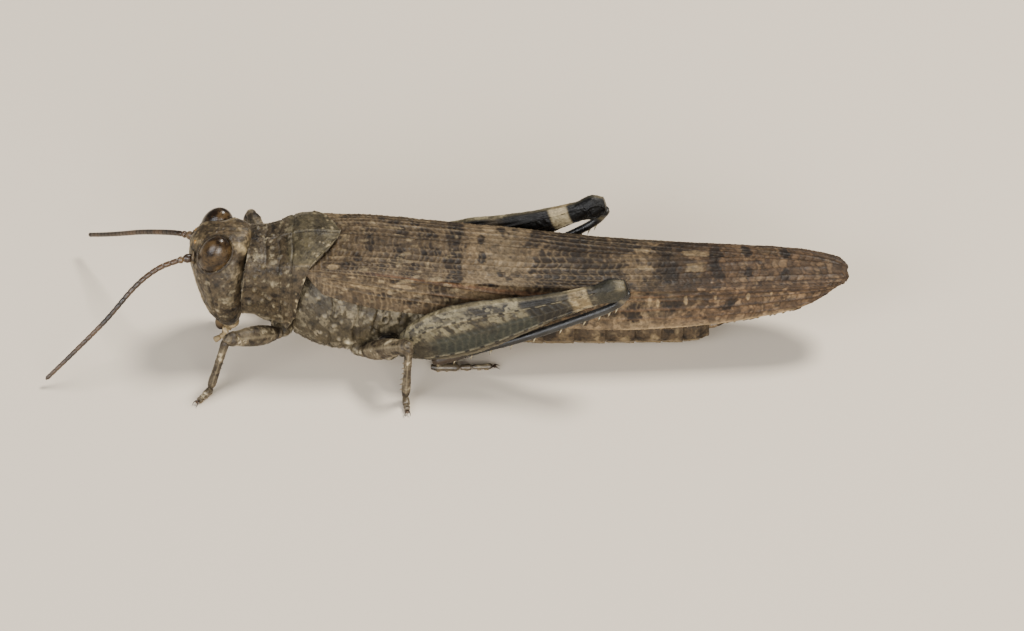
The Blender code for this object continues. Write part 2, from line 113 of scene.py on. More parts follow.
def spots(p, cell, seed=0):
    """Distance to the nearest of one scattered point a cell, in cells, and a random number of that point."""
    q = np.asarray(p, float) / cell + 1000.0
    base = np.floor(q).astype(np.int64)
    best = np.full(q.shape[:-1], 9.0)
    tag = np.zeros(q.shape[:-1])
    for a in (-1, 0, 1):
        for b in (-1, 0, 1):
            for c in (-1, 0, 1):
                i, j, k = base[..., 0] + a, base[..., 1] + b, base[..., 2] + c
                d = np.sqrt((i + hashed(i, j, k, seed) - q[..., 0]) ** 2 + (j + hashed(i, j, k, seed + 1) - q[..., 1]) ** 2
                            + (k + hashed(i, j, k, seed + 2) - q[..., 2]) ** 2)
                near = d < best
                best = np.where(near, d, best)
                tag = np.where(near, hashed(i, j, k, seed + 3), tag)
    return best, tag


def peppered(P, C, cell=0.15, depth=0.30, seed=400):
    """Fine grains of lighter and darker tone over a colour."""
    d, tag = spots(P, cell, seed)
    d2, tag2 = spots(P, cell * 2.3, seed + 4)
    return C * (1 + depth * (1.2 * tag - 0.6 + 0.8 * tag2 - 0.4))[..., None]


def bump(x, centre, width):
    return np.exp(-((x - centre) / width) ** 2)


def ramp(x, low, high):
    t = np.clip((x - low) / (high - low), 0, 1)
    return t * t * (3 - 2 * t)


def mix(a, b, t):
    return np.asarray(a) + (np.asarray(b) - np.asarray(a)) * np.asarray(t)[..., None]


def near_line(x, z, a, b):
    """Distance from points (x, z) to the stretch from a to b, and the share of the way along it."""
    dx, dz = b[0] - a[0], b[1] - a[1]
    t = np.clip(((x - a[0]) * dx + (z - a[1]) * dz) / (dx * dx + dz * dz), 0, 1)
    return np.hypot(x - a[0] - t * dx, z - a[1] - t * dz), t


def srgb(r, g, b):
    """Linear colour from 0-255 screen values."""
    c = np.array([r, g, b]) / 255.0
    return np.where(c <= 0.04045, c / 12.92, ((c + 0.055) / 1.055) ** 2.4)


# ---------------------------------------------------------------- meshes


def normals_of(P, wrap=False):
    if wrap:
        dv = np.roll(P, -1, 1) - np.roll(P, 1, 1)
    else:
        dv = np.gradient(P, axis=1)
    du = np.gradient(P, axis=0)
    n = np.cross(du, dv)
    length = np.linalg.norm(n, axis=-1, keepdims=True)
    return n / np.maximum(length, 1e-12)


def grid_faces(nu, nv, wrap):
    """Quads of a grid of points, joined round its second direction where wrap is set."""
    i, j = np.meshgrid(np.arange(nu - 1), np.arange(nv if wrap else nv - 1), indexing="ij")
    k = (j + 1) % nv
    return np.stack([i * nv + j, i * nv + k, (i + 1) * nv + k, (i + 1) * nv + j], -1).reshape(-1, 4)


class Build:
    """Collects closed grids of points with a colour each, and makes one mesh of them, faces outwards."""

    def __init__(self):
        self.verts, self.faces, self.cols, self.count = [], [], [], 0

    def add(self, points, colours, quads):
        """One closed surface: its faces are turned outwards by the sign of its volume."""
        a, b, c, d = (points[quads[:, k]] for k in range(4))
        volume = np.einsum("ij,ij->", a, np.cross(b, c)) + np.einsum("ij,ij->", a, np.cross(c, d))
        if volume < 0:
            quads = quads[:, ::-1]
        self.faces.append(quads + self.count)
        self.verts.append(points)
        self.cols.append(PAINT_GAIN * np.clip(colours, 0, 1) ** PAINT_POWER)
        self.count += len(points)

    def tube(self, P, C):
        """Closed tube of rings, both ends drawn in to a point."""
        nu, nv = P.shape[:2]
        C = np.broadcast_to(C, P.shape)
        points = np.concatenate([P.reshape(-1, 3), P[0].mean(0)[None], P[-1].mean(0)[None]])
        colours = np.concatenate([C.reshape(-1, 3), C[0].mean(0)[None], C[-1].mean(0)[None]])
        j = np.arange(nv)
        k = (j + 1) % nv
        last = (nu - 1) * nv
        start_cap = np.stack([np.full(nv, nu * nv), k, j, j], -1)
        end_cap = np.stack([np.full(nv, nu * nv + 1), last + j, last + k, last + k], -1)
        self.add(points, colours, np.concatenate([grid_faces(nu, nv, True), start_cap, end_cap]))
        return self

    def plate(self, P, C, thick, out, under=None):
        """Closed plate on the inner side of the grid P: out is the direction away from the body."""
        nu, nv = P.shape[:2]
        N = normals_of(P)
        N *= np.sign((N * out).sum(-1, keepdims=True))
        C = np.broadcast_to(C, P.shape)
        under = C if under is None else np.broadcast_to(under, P.shape)
        points = np.concatenate([P.reshape(-1, 3), (P - N * thick).reshape(-1, 3)])
        colours = np.concatenate([C.reshape(-1, 3), under.reshape(-1, 3)])
        off = nu * nv
        f = grid_faces(nu, nv, False)
        i, j = np.arange(nu - 1) * nv, np.arange(nv - 1)
        far = (nu - 1) * nv
        rims = [np.stack([i, i + nv, i + nv + off, i + off], -1),
                np.stack([i + nv - 1 + nv, i + nv - 1, i + nv - 1 + off, i + nv - 1 + nv + off], -1),
                np.stack([j + 1, j, j + off, j + 1 + off], -1),
                np.stack([far + j, far + j + 1, far + j + 1 + off, far + j + off], -1)]
        self.add(points, colours, np.concatenate([f, f[:, ::-1] + off] + rims))
        return self

    def piece(self, name, material, slot, nodes=()):
        verts = np.concatenate(self.verts)
        verts[:, 2] = np.maximum(verts[:, 2], 0.0)
        me = bpy.data.meshes.new(name)
        faces = np.concatenate(self.faces).tolist()
        me.from_pydata((verts * MM).tolist(), [], [f[:3] if f[3] == f[2] else f for f in faces])
        me.update()
        paint = me.color_attributes.new("tint", "FLOAT_COLOR", "POINT")
        cols = np.concatenate(self.cols)
        paint.data.foreach_set("color", np.hstack([cols, np.ones((len(cols), 1))]).astype(np.float32).ravel())
        me.shade_smooth()
        ob = bpy.data.objects.new(name, me)
        bpy.context.scene.collection.objects.link(ob)
        me.materials.append(material)
        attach(ob, "root")
        if nodes:
            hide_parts(*nodes)
        return ob


def frames_along(path, side):
    """Tangent, side and up vectors at each point of a path."""
    d = np.gradient(path, axis=0)
    d /= np.linalg.norm(d, axis=1, keepdims=True)
    s = np.asarray(side, float)[None] - d * (d @ np.asarray(side, float))[:, None]
    s /= np.linalg.norm(s, axis=1, keepdims=True)
    return d, s, np.cross(d, s)


def tube(path, half_w, half_h, side, around=24, n=2.0):
    """Points of a tube along a path, with half widths along side and across it."""
    path = np.asarray(path, float)
    d, s, u = frames_along(path, side)
    a = 2 * pi * np.arange(around) / around
    ca, sa = power(np.cos(a), 2 / n), power(np.sin(a), 2 / n)
    return (path[:, None] + s[:, None] * (np.asarray(half_w)[:, None] * ca)[..., None]
            + u[:, None] * (np.asarray(half_h)[:, None] * sa)[..., None])


def cone(build, root, tip, radius, colour, tip_colour=None, sides=5):
    """Small spine, hair or claw with a sharp tip."""
    root, tip = np.asarray(root, float), np.asarray(tip, float)
    d = tip - root
    d /= np.linalg.norm(d)
    s = np.cross(d, [0.3, 0.5, 0.8])
    s /= np.linalg.norm(s)
    u = np.cross(d, s)
    a = 2 * pi * np.arange(sides) / sides
    ring = np.cos(a)[:, None] * s + np.sin(a)[:, None] * u
    P = np.stack([root + ring * radius, root + (tip - root) * 0.55 + ring * radius * 0.6, tip + ring * radius * 0.06])
    C = np.stack([np.tile(colour, (sides, 1)), np.tile(colour, (sides, 1)),
                  np.tile(colour if tip_colour is None else tip_colour, (sides, 1))])
    build.tube(P, C)


# ---------------------------------------------------------------- materials


def cuticle(name, rough=0.5, rough_spread=0.12, fine=0.10, fine_scale=9000.0, relief=0.35, pit_scale=0.0,
            coat=0.0, specular=0.5, subsurface=0.0):
    """Painted cuticle: the mesh's own markings, broken up by fine grains, with pits and gloss."""
    mat = bpy.data.materials.new(name)
    mat.use_nodes = True
    nt = mat.node_tree
    link = nt.links.new
    shader = nt.nodes["Principled BSDF"]
    tint = nt.nodes.new("ShaderNodeVertexColor")
    tint.layer_name = "tint"
    place = nt.nodes.new("ShaderNodeTexCoord")
    grain = nt.nodes.new("ShaderNodeTexNoise")
    grain.inputs["Scale"].default_value = fine_scale
    grain.inputs["Detail"].default_value = 4.0
    grain.inputs["Roughness"].default_value = 0.65
    link(place.outputs["Object"], grain.inputs["Vector"])
    value = nt.nodes.new("ShaderNodeMapRange")
    value.inputs["From Min"].default_value = 0.3
    value.inputs["From Max"].default_value = 0.7
    value.inputs["To Min"].default_value = 1.0 - fine
    value.inputs["To Max"].default_value = 1.0 + fine
    link(grain.outputs["Fac"], value.inputs["Value"])
    shade = nt.nodes.new("ShaderNodeHueSaturation")
    link(tint.outputs["Color"], shade.inputs["Color"])
    link(value.outputs["Result"], shade.inputs["Value"])
    link(shade.outputs["Color"], shader.inputs["Base Color"])
    wear = nt.nodes.new("ShaderNodeTexNoise")
    wear.inputs["Scale"].default_value = fine_scale * 0.22
    wear.inputs["Detail"].default_value = 3.0
    link(place.outputs["Object"], wear.inputs["Vector"])
    dull = nt.nodes.new("ShaderNodeMapRange")
    dull.inputs["From Min"].default_value = 0.35
    dull.inputs["From Max"].default_value = 0.65
    dull.inputs["To Min"].default_value = rough - rough_spread
    dull.inputs["To Max"].default_value = rough + rough_spread
    link(wear.outputs["Fac"], dull.inputs["Value"])
    link(dull.outputs["Result"], shader.inputs["Roughness"])
    height = grain.outputs["Fac"]
    if pit_scale:
        pits = nt.nodes.new("ShaderNodeTexVoronoi")
        pits.inputs["Scale"].default_value = pit_scale
        link(place.outputs["Object"], pits.inputs["Vector"])
        add = nt.nodes.new("ShaderNodeMath")
        add.operation = "ADD"
        link(grain.outputs["Fac"], add.inputs[0])
        link(pits.outputs["Distance"], add.inputs[1])
        height = add.outputs["Value"]
    relief_node = nt.nodes.new("ShaderNodeBump")
    relief_node.inputs["Strength"].default_value = relief
    relief_node.inputs["Distance"].default_value = 0.00006
    link(height, relief_node.inputs["Height"])
    link(relief_node.outputs["Normal"], shader.inputs["Normal"])
    shader.inputs["Specular IOR Level"].default_value = specular
    shader.inputs["Coat Weight"].default_value = coat
    shader.inputs["Coat Roughness"].default_value = 0.12
    if subsurface:
        shader.inputs["Subsurface Weight"].default_value = subsurface
        shader.inputs["Subsurface Scale"].default_value = 0.0003
        shader.inputs["Subsurface Radius"].default_value = (1.0, 0.6, 0.35)
    return mat


def eye_material():
    """Glossy dark eye with facets."""
    mat = cuticle("compound_eye", rough=0.24, rough_spread=0.04, fine=0.06, relief=0.05, coat=0.10, specular=0.25)
    nt = mat.node_tree
    facets = nt.nodes.new("ShaderNodeTexVoronoi")
    facets.inputs["Scale"].default_value = 17000.0
    facets.inputs["Randomness"].default_value = 0.25
    place = next(n for n in nt.nodes if n.type == "TEX_COORD")
    nt.links.new(place.outputs["Object"], facets.inputs["Vector"])
    relief = next(n for n in nt.nodes if n.type == "BUMP")
    relief.inputs["Strength"].default_value = 0.22
    relief.inputs["Distance"].default_value = 0.00003
    relief.invert = True
    nt.links.new(facets.outputs["Distance"], relief.inputs["Height"])
    return mat


# ---------------------------------------------------------------- camera, light and floor
PIXELS_PER_MM = 16.3
FRAME_SIZE = (1024, 631)
ZERO_PIXEL = (447.5, 335.0)       # where the middle of the floor under the animal falls
ELEVATION = radians(41.0)
CAMERA_AWAY = 350.0
SENSOR = 36.0


def make_camera():
    cam = bpy.data.cameras.new("camera")
    ob = bpy.data.objects.new("camera", cam)
    bpy.context.scene.collection.objects.link(ob)
    wide = FRAME_SIZE[0] / PIXELS_PER_MM
    cam.sensor_width = SENSOR
    cam.lens = SENSOR * CAMERA_AWAY / wide
    cam.clip_start = 0.01
    cam.clip_end = 10.0
    x = (FRAME_SIZE[0] / 2 - ZERO_PIXEL[0]) / PIXELS_PER_MM
    rise = (ZERO_PIXEL[1] - FRAME_SIZE[1] / 2) / PIXELS_PER_MM
    target = Vector((x, 0.0, rise / cos(ELEVATION)))
    back = Vector((0.0, -cos(ELEVATION), sin(ELEVATION)))
    ob.location = (target + back * CAMERA_AWAY) * MM
    ob.rotation_mode = "QUATERNION"
    ob.rotation_quaternion = (-back).to_track_quat("-Z", "Y")
    bpy.context.scene.camera = ob


def area_light(name, place, size, watts, colour):
    data = bpy.data.lights.new(name, "AREA")
    data.shape = "DISK"
    data.size = size
    data.energy = watts
    data.color = colour
    ob = bpy.data.objects.new(name, data)
    ob.location = place
    ob.rotation_mode = "QUATERNION"
    ob.rotation_quaternion = (-Vector(place)).to_track_quat("-Z", "Y")
    bpy.context.scene.collection.objects.link(ob)


def make_studio():
    area_light("key", (0.16, 0.10, 0.36), 0.12, 2.3, (1.0, 0.95, 0.87))
    area_light("fill", (-0.25, -0.30, 0.20), 0.30, 1.9, (0.96, 0.97, 1.0))
    area_light("front", (0.08, -0.42, 0.14), 0.25, 2.4, (1.0, 0.97, 0.92))
    world = bpy.data.worlds.new("studio")
    world.use_nodes = True
    world.node_tree.nodes["Background"].inputs["Color"].default_value = (0.80, 0.82, 0.85, 1.0)
    world.node_tree.nodes["Background"].inputs["Strength"].default_value = 0.30
    bpy.context.scene.world = world
    half = 0.6
    me = bpy.data.meshes.new("floor")
    me.from_pydata([(-half, -half, 0), (half, -half, 0), (half, half, 0), (-half, half, 0)], [], [(0, 1, 2, 3)])
    floor = bpy.data.objects.new("floor", me)
    bpy.context.scene.collection.objects.link(floor)
    mat = bpy.data.materials.new("pale_floor")
    mat.use_nodes = True
    mat.node_tree.nodes["Principled BSDF"].inputs["Base Color"].default_value = (0.66, 0.58, 0.47, 1.0)
    mat.node_tree.nodes["Principled BSDF"].inputs["Roughness"].default_value = 0.85
    me.materials.append(mat)




# ---------------------------------------------------------------- head
HEAD_FLARE = 0.10
HEAD_LEVELS = [        # height, front, back, half width
    (1.78, -13.60, -13.15, 0.02), (1.83, -13.82, -12.95, 0.75), (1.95, -14.05, -12.75, 1.30),
    (2.60, -14.50, -12.50, 1.95), (3.60, -14.92, -12.32, 2.32), (4.80, -15.27, -12.18, 2.46),
    (5.90, -15.48, -12.06, 2.40), (6.80, -15.55, -11.96, 2.20), (7.50, -15.50, -11.88, 1.94),
    (8.05, -15.30, -11.85, 1.60), (8.42, -14.95, -11.92, 1.16), (8.60, -14.40, -12.25, 0.66),
    (8.64, -13.60, -13.00, 0.02)]
EYE_CENTRE = np.array([-14.00, 1.34, 7.60])
EYE_RADII = np.array([0.98, 0.86, 1.38])
EYE_TILT = 0.35
BONE = srgb(196, 180, 148)        # palest bumps and rings
INK = srgb(30, 23, 16)            # darkest marks


def eye_measure(P, side):
    """1 on the eye's surface, more outside it."""
    q = P - EYE_CENTRE * [1, side, 1]
    c, s = cos(EYE_TILT), sin(EYE_TILT)
    local = np.stack([q[..., 0] * c - q[..., 2] * s, q[..., 1], q[..., 0] * s + q[..., 2] * c], -1)
    return np.linalg.norm(local / EYE_RADII, axis=-1)


def mottle(P, dark, mid, pale, cell, seed, sharp=0.25):
    """Three tones in patches: noise picks the tone, small spots break its edges."""
    n = fbm(P, cell, seed, 4)
    speck, tag = spots(P, cell * 0.34, seed + 5)
    n = n + (tag - 0.5) * 0.7 * (speck < 0.5)
    C = mix(dark, mid, ramp(n, -0.85, -0.85 + 3 * sharp))
    return mix(C, pale, ramp(n, 0.40, 0.40 + 2 * sharp))


def granules(P, cell, seed, share=0.6):
    """Round grains from 0 to 1, on part of the cells only."""
    d, tag = spots(P, cell, seed)
    return ramp(0.45 - d, 0.0, 0.30) * (tag < share)


HEAD_ROWS, HEAD_AROUND = 240, 260


def build_head():
    rows = catmull(HEAD_LEVELS, HEAD_ROWS)
    a = 2 * pi * np.arange(HEAD_AROUND) / HEAD_AROUND
    ca, sa = power(np.cos(a), 2 / 2.2), power(np.sin(a), 2 / 2.2)
    z, front, back, half = (rows[:, k:k + 1] for k in range(4))
    half = np.maximum(half, 0.005)
    P = np.stack(np.broadcast_arrays(0.5 * (front + back) + 0.5 * (back - front) * ca,
                                     half * sa * (1 + HEAD_FLARE * np.cos(a)), z), -1)
    N = -normals_of(P, wrap=True)
    N *= np.sign((N * (P - [-13.8, 0, 5.2])).sum(-1, keepdims=True))
    x, y, z = P[..., 0], P[..., 1], P[..., 2]
    w = np.abs(y)
    face = ramp(-N[..., 0], 0.15, 0.5)
    costa_w = 0.26 + 0.20 * ramp(6.4 - z, 0, 3.4) + 0.10 * bump(z, 6.4, 0.5)
    costa = bump(w, costa_w, 0.13) * ramp(8.1 - z, 0, 0.5) * ramp(z, 2.9, 3.5)
    sulcus = ramp(costa_w - w, 0.0, 0.15) * ramp(7.3 - z, 0, 0.6) * ramp(z, 3.2, 4.2)
    keel_w = 1.05 + 0.42 * ramp(6.4 - z, 0, 3.6)
    keel = bump(w, keel_w, 0.11) * ramp(6.6 - z, 0, 0.5) * ramp(z, 2.8, 3.2)
    furrow, _ = near_line(x, z, (-14.55, 6.3), (-13.95, 2.7))
    furrow = bump(furrow, 0, 0.10) * (1 - face * (w < 1.0)) * (w > 0.9)
    suture = bump(z, 2.78 + 0.10 * np.cos(2.2 * y), 0.06) * ramp(-x, 13.7, 14.1)
    occiput = ramp(z, 7.6, 8.2) * ramp(1.7 - w, 0, 0.5)
    rim, inside = 0, 0
    for side in (-1, 1):
        q = eye_measure(P, side)
        rim = rim + bump(q, 1.10, 0.05)
        inside = np.maximum(inside, ramp(1.04 - q, 0, 0.03))
    hollow = bump(x, -14.75, 0.42) * bump(y, 0, 0.34) * ramp(z, 8.0, 8.3)
    crest = bump(y, 0, 0.05) * occiput * ramp(x, -14.0, -13.4)
    wrinkle = noise(np.stack([x * 0.35, y * 3.0, z], -1), 0.30, 3) * occiput
    streak = fbm(np.stack([x * 2.6, y * 2.6, z * 0.55], -1), 0.9, 9, 3)
    grain = granules(P, 0.24, 12, 0.75)
    h = (0.10 * costa * face - 0.07 * sulcus * face + 0.07 * keel - 0.08 * furrow - 0.06 * suture + 0.05 * rim
         - 0.12 * hollow + 0.03 * crest + 0.018 * wrinkle + 0.022 * grain + 0.020 * streak * (1 - occiput)
         + 0.020 * fbm(P, 0.5, 4) - 0.10 * inside)
    P2 = P + N * h[..., None]
    C = mottle(P, srgb(38, 30, 21), srgb(82, 72, 56), srgb(134, 125, 105), 0.50, 21)
    C = mix(C, srgb(122, 112, 92), 0.55 * ramp(streak, 0.15, 0.6) * (1 - occiput))
    C = mix(C, srgb(60, 50, 38), 0.60 * ramp(-streak, 0.25, 0.7) * (1 - occiput))
    crown = ramp(z, 7.5, 8.1)
    C = mix(C, mix(srgb(92, 80, 60), srgb(134, 120, 94), ramp(fbm(P, 0.32, 31, 4), -0.5, 0.5)), 0.85 * crown)
    C = mix(C, srgb(54, 44, 31), 0.75 * crown * ramp(fbm(P, 0.45, 32, 4), 0.10, 0.4))
    C = mix(C, srgb(92, 78, 57), 0.7 * crown * bump(w, 0.42, 0.16) * ramp(x, -14.2, -13.7))
    C = mix(C, srgb(166, 150, 118), 0.75 * bump(w, 1.26 - 0.05 * (x + 13), 0.13) * ramp(x, -13.35, -13.0) * ramp(z, 7.3, 7.6))
    C = mix(C, srgb(66, 54, 38), 0.8 * bump(w, 1.66, 0.22) * ramp(x, -13.2, -12.8) * ramp(z, 6.2, 6.8))
    C = mix(C, BONE, 0.45 * (costa + keel).clip(0, 1) * (0.4 + 0.6 * ramp(noise(P, 0.4, 8), -0.3, 0.4)))
    C = mix(C, INK, 0.55 * (furrow * ramp(z, 3.5, 5.5) + suture + sulcus * 0.5).clip(0, 1))
    C = mix(C, srgb(58, 48, 35), 0.65 * ramp(rim, 0.15, 0.6))
    C = mix(C, srgb(150, 138, 115), 0.5 * grain * (1 - crown) * ramp(fbm(P, 0.6, 44), 0.0, 0.4))
    C = mix(C, INK, 0.85 * granules(P, 0.16, 71, 0.16) * (1 - 0.7 * crown))
    # painted shade: the back of the head, where it goes under the pronotum, is darkened
    C = mix(C, INK, 0.6 * ramp(x, -12.45, -12.15) * (z < 7.6))
    C = peppered(P, C, 0.15, 0.46)
    Build().tube(P2, C).piece("head_capsule", CUTICLE, "head", ["head"])


def ball(build, centre, radii, tilt, paint, nu=40, nv=48, relief=None):
    """Ellipsoid leaning by tilt about Y, coloured by paint(points)."""
    t = pi * (np.arange(nu) + 0.5) / nu
    a = 2 * pi * np.arange(nv) / nv
    unit = np.stack([np.sin(t)[:, None] * np.cos(a), np.sin(t)[:, None] * np.sin(a),
                     np.broadcast_to(np.cos(t)[:, None], (nu, nv))], -1)
    scale = 1.0 if relief is None else 1.0 + relief(unit)[..., None]
    local = unit * radii * scale
    c, s = cos(tilt), sin(tilt)
    P = np.stack([local[..., 0] * c + local[..., 2] * s, local[..., 1], -local[..., 0] * s + local[..., 2] * c], -1)
    P = P + centre
    build.tube(P, paint(P) if callable(paint) else np.asarray(paint))


def eye_paint(P):
    C = mix(srgb(44, 33, 22), srgb(92, 76, 54), ramp(fbm(P, 0.55, 61), -0.5, 0.6))
    d, tag = spots(P, 0.15, 62)
    C = mix(C, srgb(20, 14, 9), 0.6 * ramp(0.5 - d, 0, 0.2) * (tag < 0.4))
    return mix(C, srgb(104, 88, 62), 0.35 * ramp(0.45 - d, 0, 0.2) * (tag > 0.8))


def build_eyes():
    for word, side in (("left", -1), ("right", 1)):
        b = Build()
        ball(b, EYE_CENTRE * [1, side, 1], EYE_RADII, EYE_TILT, eye_paint, 80, 100)
        b.piece("compound_eye_" + word, EYE, "eye", ["eye_" + word])
    b = Build()
    for centre, r in (((-15.53, 0.0, 6.35), 0.13), ((-15.18, -0.56, 7.98), 0.13), ((-15.18, 0.56, 7.98), 0.13)):
        ball(b, np.array(centre), np.array([r, r, r]), 0.0, srgb(150, 118, 66), 14, 18)
    b.piece("ocelli", EYE, "eye")


def pale_leg(P):
    return mottle(P, srgb(92, 78, 58), srgb(150, 134, 104), srgb(186, 170, 140), 0.5, 33)


def segments(build, path, radii, side, paint, around=20, flat=1.0):
    """Chain of rounded segments: one row of radii (start, middle, end) for each stretch of the path."""
    for k, (r0, r1, r2) in enumerate(radii):
        a, b = np.asarray(path[k], float), np.asarray(path[k + 1], float)
        t = np.array([0, 0.04, 0.12, 0.3, 0.5, 0.7, 0.86, 0.95, 1.0])
        r = np.interp(t, [0, 0.5, 1], [r0, r1, r2]) * np.array([0.5, 0.85, 1, 1, 1, 1, 1, 0.85, 0.5])
        P = tube(a + (b - a) * t[:, None], r, r * flat, side, around)
        build.tube(P, paint(P))


def build_mouth():
    b = Build()
    t = np.linspace(0, 1, 30)[:, None]
    s = np.linspace(-1, 1, 40)[None]
    z = 2.40 - 1.12 * t + 0 * s
    y = s * (0.92 - 0.20 * t ** 3) * np.sqrt(np.clip(1.02 - t ** 6, 0.05, 1))
    x = -14.34 + 0.42 * t ** 1.3 + 0.34 * s ** 2 - 0.06 * bump(s, 0, 0.3) + 0.07 * bump(t, 0.42, 0.05)
    P = np.stack(np.broadcast_arrays(x, y, z), -1)
    x = x + 0.02 * fbm(P, 0.3, 5)
    P[..., 0] = x
    C = mottle(P, srgb(84, 72, 54), srgb(136, 124, 100), srgb(176, 164, 136), 0.4, 14)
    C = mix(C, INK, 0.6 * bump(t + 0 * s, 0.42, 0.04))
    b.plate(P, C, 0.12, [-1, 0, 0])
    for side in (-1, 1):
        ball(b, np.array([-13.80, 0.72 * side, 1.75]), np.array([0.42, 0.34, 0.62]), 0.15,
             lambda q: mix(srgb(46, 34, 24), srgb(110, 94, 70), ramp(q[..., 2], 1.3, 1.9)), 26, 30)
        ball(b, np.array([-13.25, 0.45 * side, 1.55]), np.array([0.50, 0.44, 0.48]), -0.2, pale_leg, 26, 30)
    ball(b, np.array([-13.35, 0.0, 1.45]), np.array([0.36, 0.30, 0.42]), 0.0, pale_leg, 20, 24)
    b.piece("jaws_and_lips", CUTICLE, "mouth", ["mouthparts"])
    for word, side in (("left", -1), ("right", 1)):
        b = Build()
        path = [(-13.35, 0.80 * side, 1.95), (-13.62, 1.05 * side, 1.66), (-13.55, 1.22 * side, 1.22),
                (-13.90, 1.30 * side, 1.00), (-14.28, 1.36 * side, 0.78)]
        segments(b, path, [(0.17, 0.17, 0.16), (0.16, 0.18, 0.18), (0.15, 0.17, 0.18), (0.15, 0.18, 0.20)],
                 (0, 1, 0), pale_leg)
        path = [(-13.15, 0.45 * side, 1.35), (-13.45, 0.66 * side, 1.02), (-13.78, 0.74 * side, 0.84)]
        segments(b, path, [(0.14, 0.15, 0.15), (0.13, 0.15, 0.16)], (0, 1, 0), pale_leg)
        b.piece("palps_" + word, CUTICLE, "mouth", ["palp_" + word])


# ---------------------------------------------------------------- feelers
ANTENNA_PATHS = {
    "left": [(-15.30, -0.92, 7.10), (-16.45, -1.32, 7.05), (-17.60, -1.80, 6.80), (-18.90, -2.50, 6.00),
             (-20.70, -3.40, 4.10), (-22.60, -4.10, 2.25), (-24.40, -4.74, 0.56)],
    "right": [(-15.30, 0.92, 7.15), (-16.45, 1.60, 6.85), (-17.60, 2.70, 6.00), (-18.90, 4.00, 4.90),
              (-20.20, 5.40, 3.60), (-21.30, 6.50, 2.60), (-22.42, 7.68, 1.58)],
}
ANTENNA_PARTS = ("scape", "flagellum_a", "flagellum_b", "flagellum_c")
SCAPE_END = 0.055                 # shares of the feeler's length
PEDICEL_END = 0.085
FLAGELLUM_SEGMENTS = 25


def build_antennae():
    for word, knots in ANTENNA_PATHS.items():
        path = catmull(knots, 900)
        length = np.concatenate([[0], np.cumsum(np.linalg.norm(np.diff(path, axis=0), axis=1))])
        share = length / length[-1]
        s = np.linspace(0, 1, 760)
        centre = np.stack([np.interp(s, share, path[:, k]) for k in range(3)], -1)
        along = (s - PEDICEL_END) / (1 - PEDICEL_END) * FLAGELLUM_SEGMENTS
        within = along - np.floor(along)
        r = (0.185 - 0.045 * s) * (1 - 0.16 * np.exp(-(np.minimum(within, 1 - within) / 0.10) ** 2))
        r = np.where(s < PEDICEL_END, 0.235 - 0.08 * bump(s, PEDICEL_END, 0.008) - 0.10 * bump(s, SCAPE_END, 0.006), r)
        r = np.where(s < SCAPE_END, 0.30 - 0.10 * bump(s, SCAPE_END, 0.010) - 0.08 * bump(s, 0, 0.02), r)
        r = r * np.clip((1 - s) / 0.012, 0.25, 1) ** 0.5
        P = tube(centre, r, r * 0.86, (0, 0, 1), 20)
        tone = ramp(noise(P, 0.9, 5), -0.5, 0.6)
        C = mix(srgb(46, 34, 24), srgb(92, 72, 52), tone)
        C = mix(C, srgb(128, 108, 80), 0.55 * (s < PEDICEL_END)[:, None] * ramp(noise(P, 0.4, 6), -0.2, 0.4))
        C = mix(C, srgb(24, 17, 12), 0.6 * np.exp(-(np.minimum(within, 1 - within) / 0.08) ** 2)[:, None] + 0 * tone)
        b = Build()
        b.tube(P, C)
        b.piece("feeler_" + word, GLOSSY, "antenna", ["antenna_%s_%s" % (part, word) for part in ANTENNA_PARTS])
        b = Build()
        rim = np.array([-15.36, 0.94 * (-1 if word == "left" else 1), 7.11])
        a = np.linspace(0, 2.04 * pi, 45)
        ring = rim + np.stack([0 * a, np.cos(a), np.sin(a)], -1) * 0.38
        P = tube(ring, 0.09 + 0 * a, 0.07 + 0 * a, (1, 0, 0), 14)
        b.tube(P, mottle(P, srgb(60, 50, 38), srgb(100, 88, 68), srgb(130, 118, 92), 0.3, 3))
        b.piece("feeler_socket_" + word, CUTICLE, "head")


# ---------------------------------------------------------------- pronotum
PRONOTUM_ROWS = [      # x, half width, top, lower margin
    (-12.45, 2.22, 7.82, 3.50), (-11.60, 2.24, 7.88, 3.40), (-10.90, 2.32, 7.86, 3.22),
    (-10.30, 2.50, 7.98, 3.00), (-9.60, 2.76, 8.26, 2.65), (-8.80, 2.86, 8.46, 2.45),
    (-7.80, 2.90, 8.50, 2.45), (-6.40, 2.88, 8.40, 2.60)]
PRONOTUM_PROFILE = [   # share of the half width, share of the height above the lower margin
    (0.00, 1.000), (0.10, 0.982), (0.36, 0.974), (0.66, 0.948), (0.86, 0.895), (0.95, 0.800),
    (1.00, 0.620), (1.00, 0.420), (0.97, 0.200), (0.91, 0.000)]
PRONOTUM_MARGINS = [   # front and rear edge at each point of the profile
    (-12.05, -6.40), (-12.05, -6.52), (-12.05, -6.90), (-12.08, -7.50), (-12.13, -8.05),
    (-12.20, -8.40), (-12.32, -8.75), (-12.42, -9.05), (-12.48, -9.30), (-12.45, -9.75)]
SULCI = (-10.95, -10.15, -9.35)          # cross grooves; the last cuts the keel in the middle


PRONOTUM_ACROSS, PRONOTUM_ALONG = 112, 215       # points on each half, rows from front to back


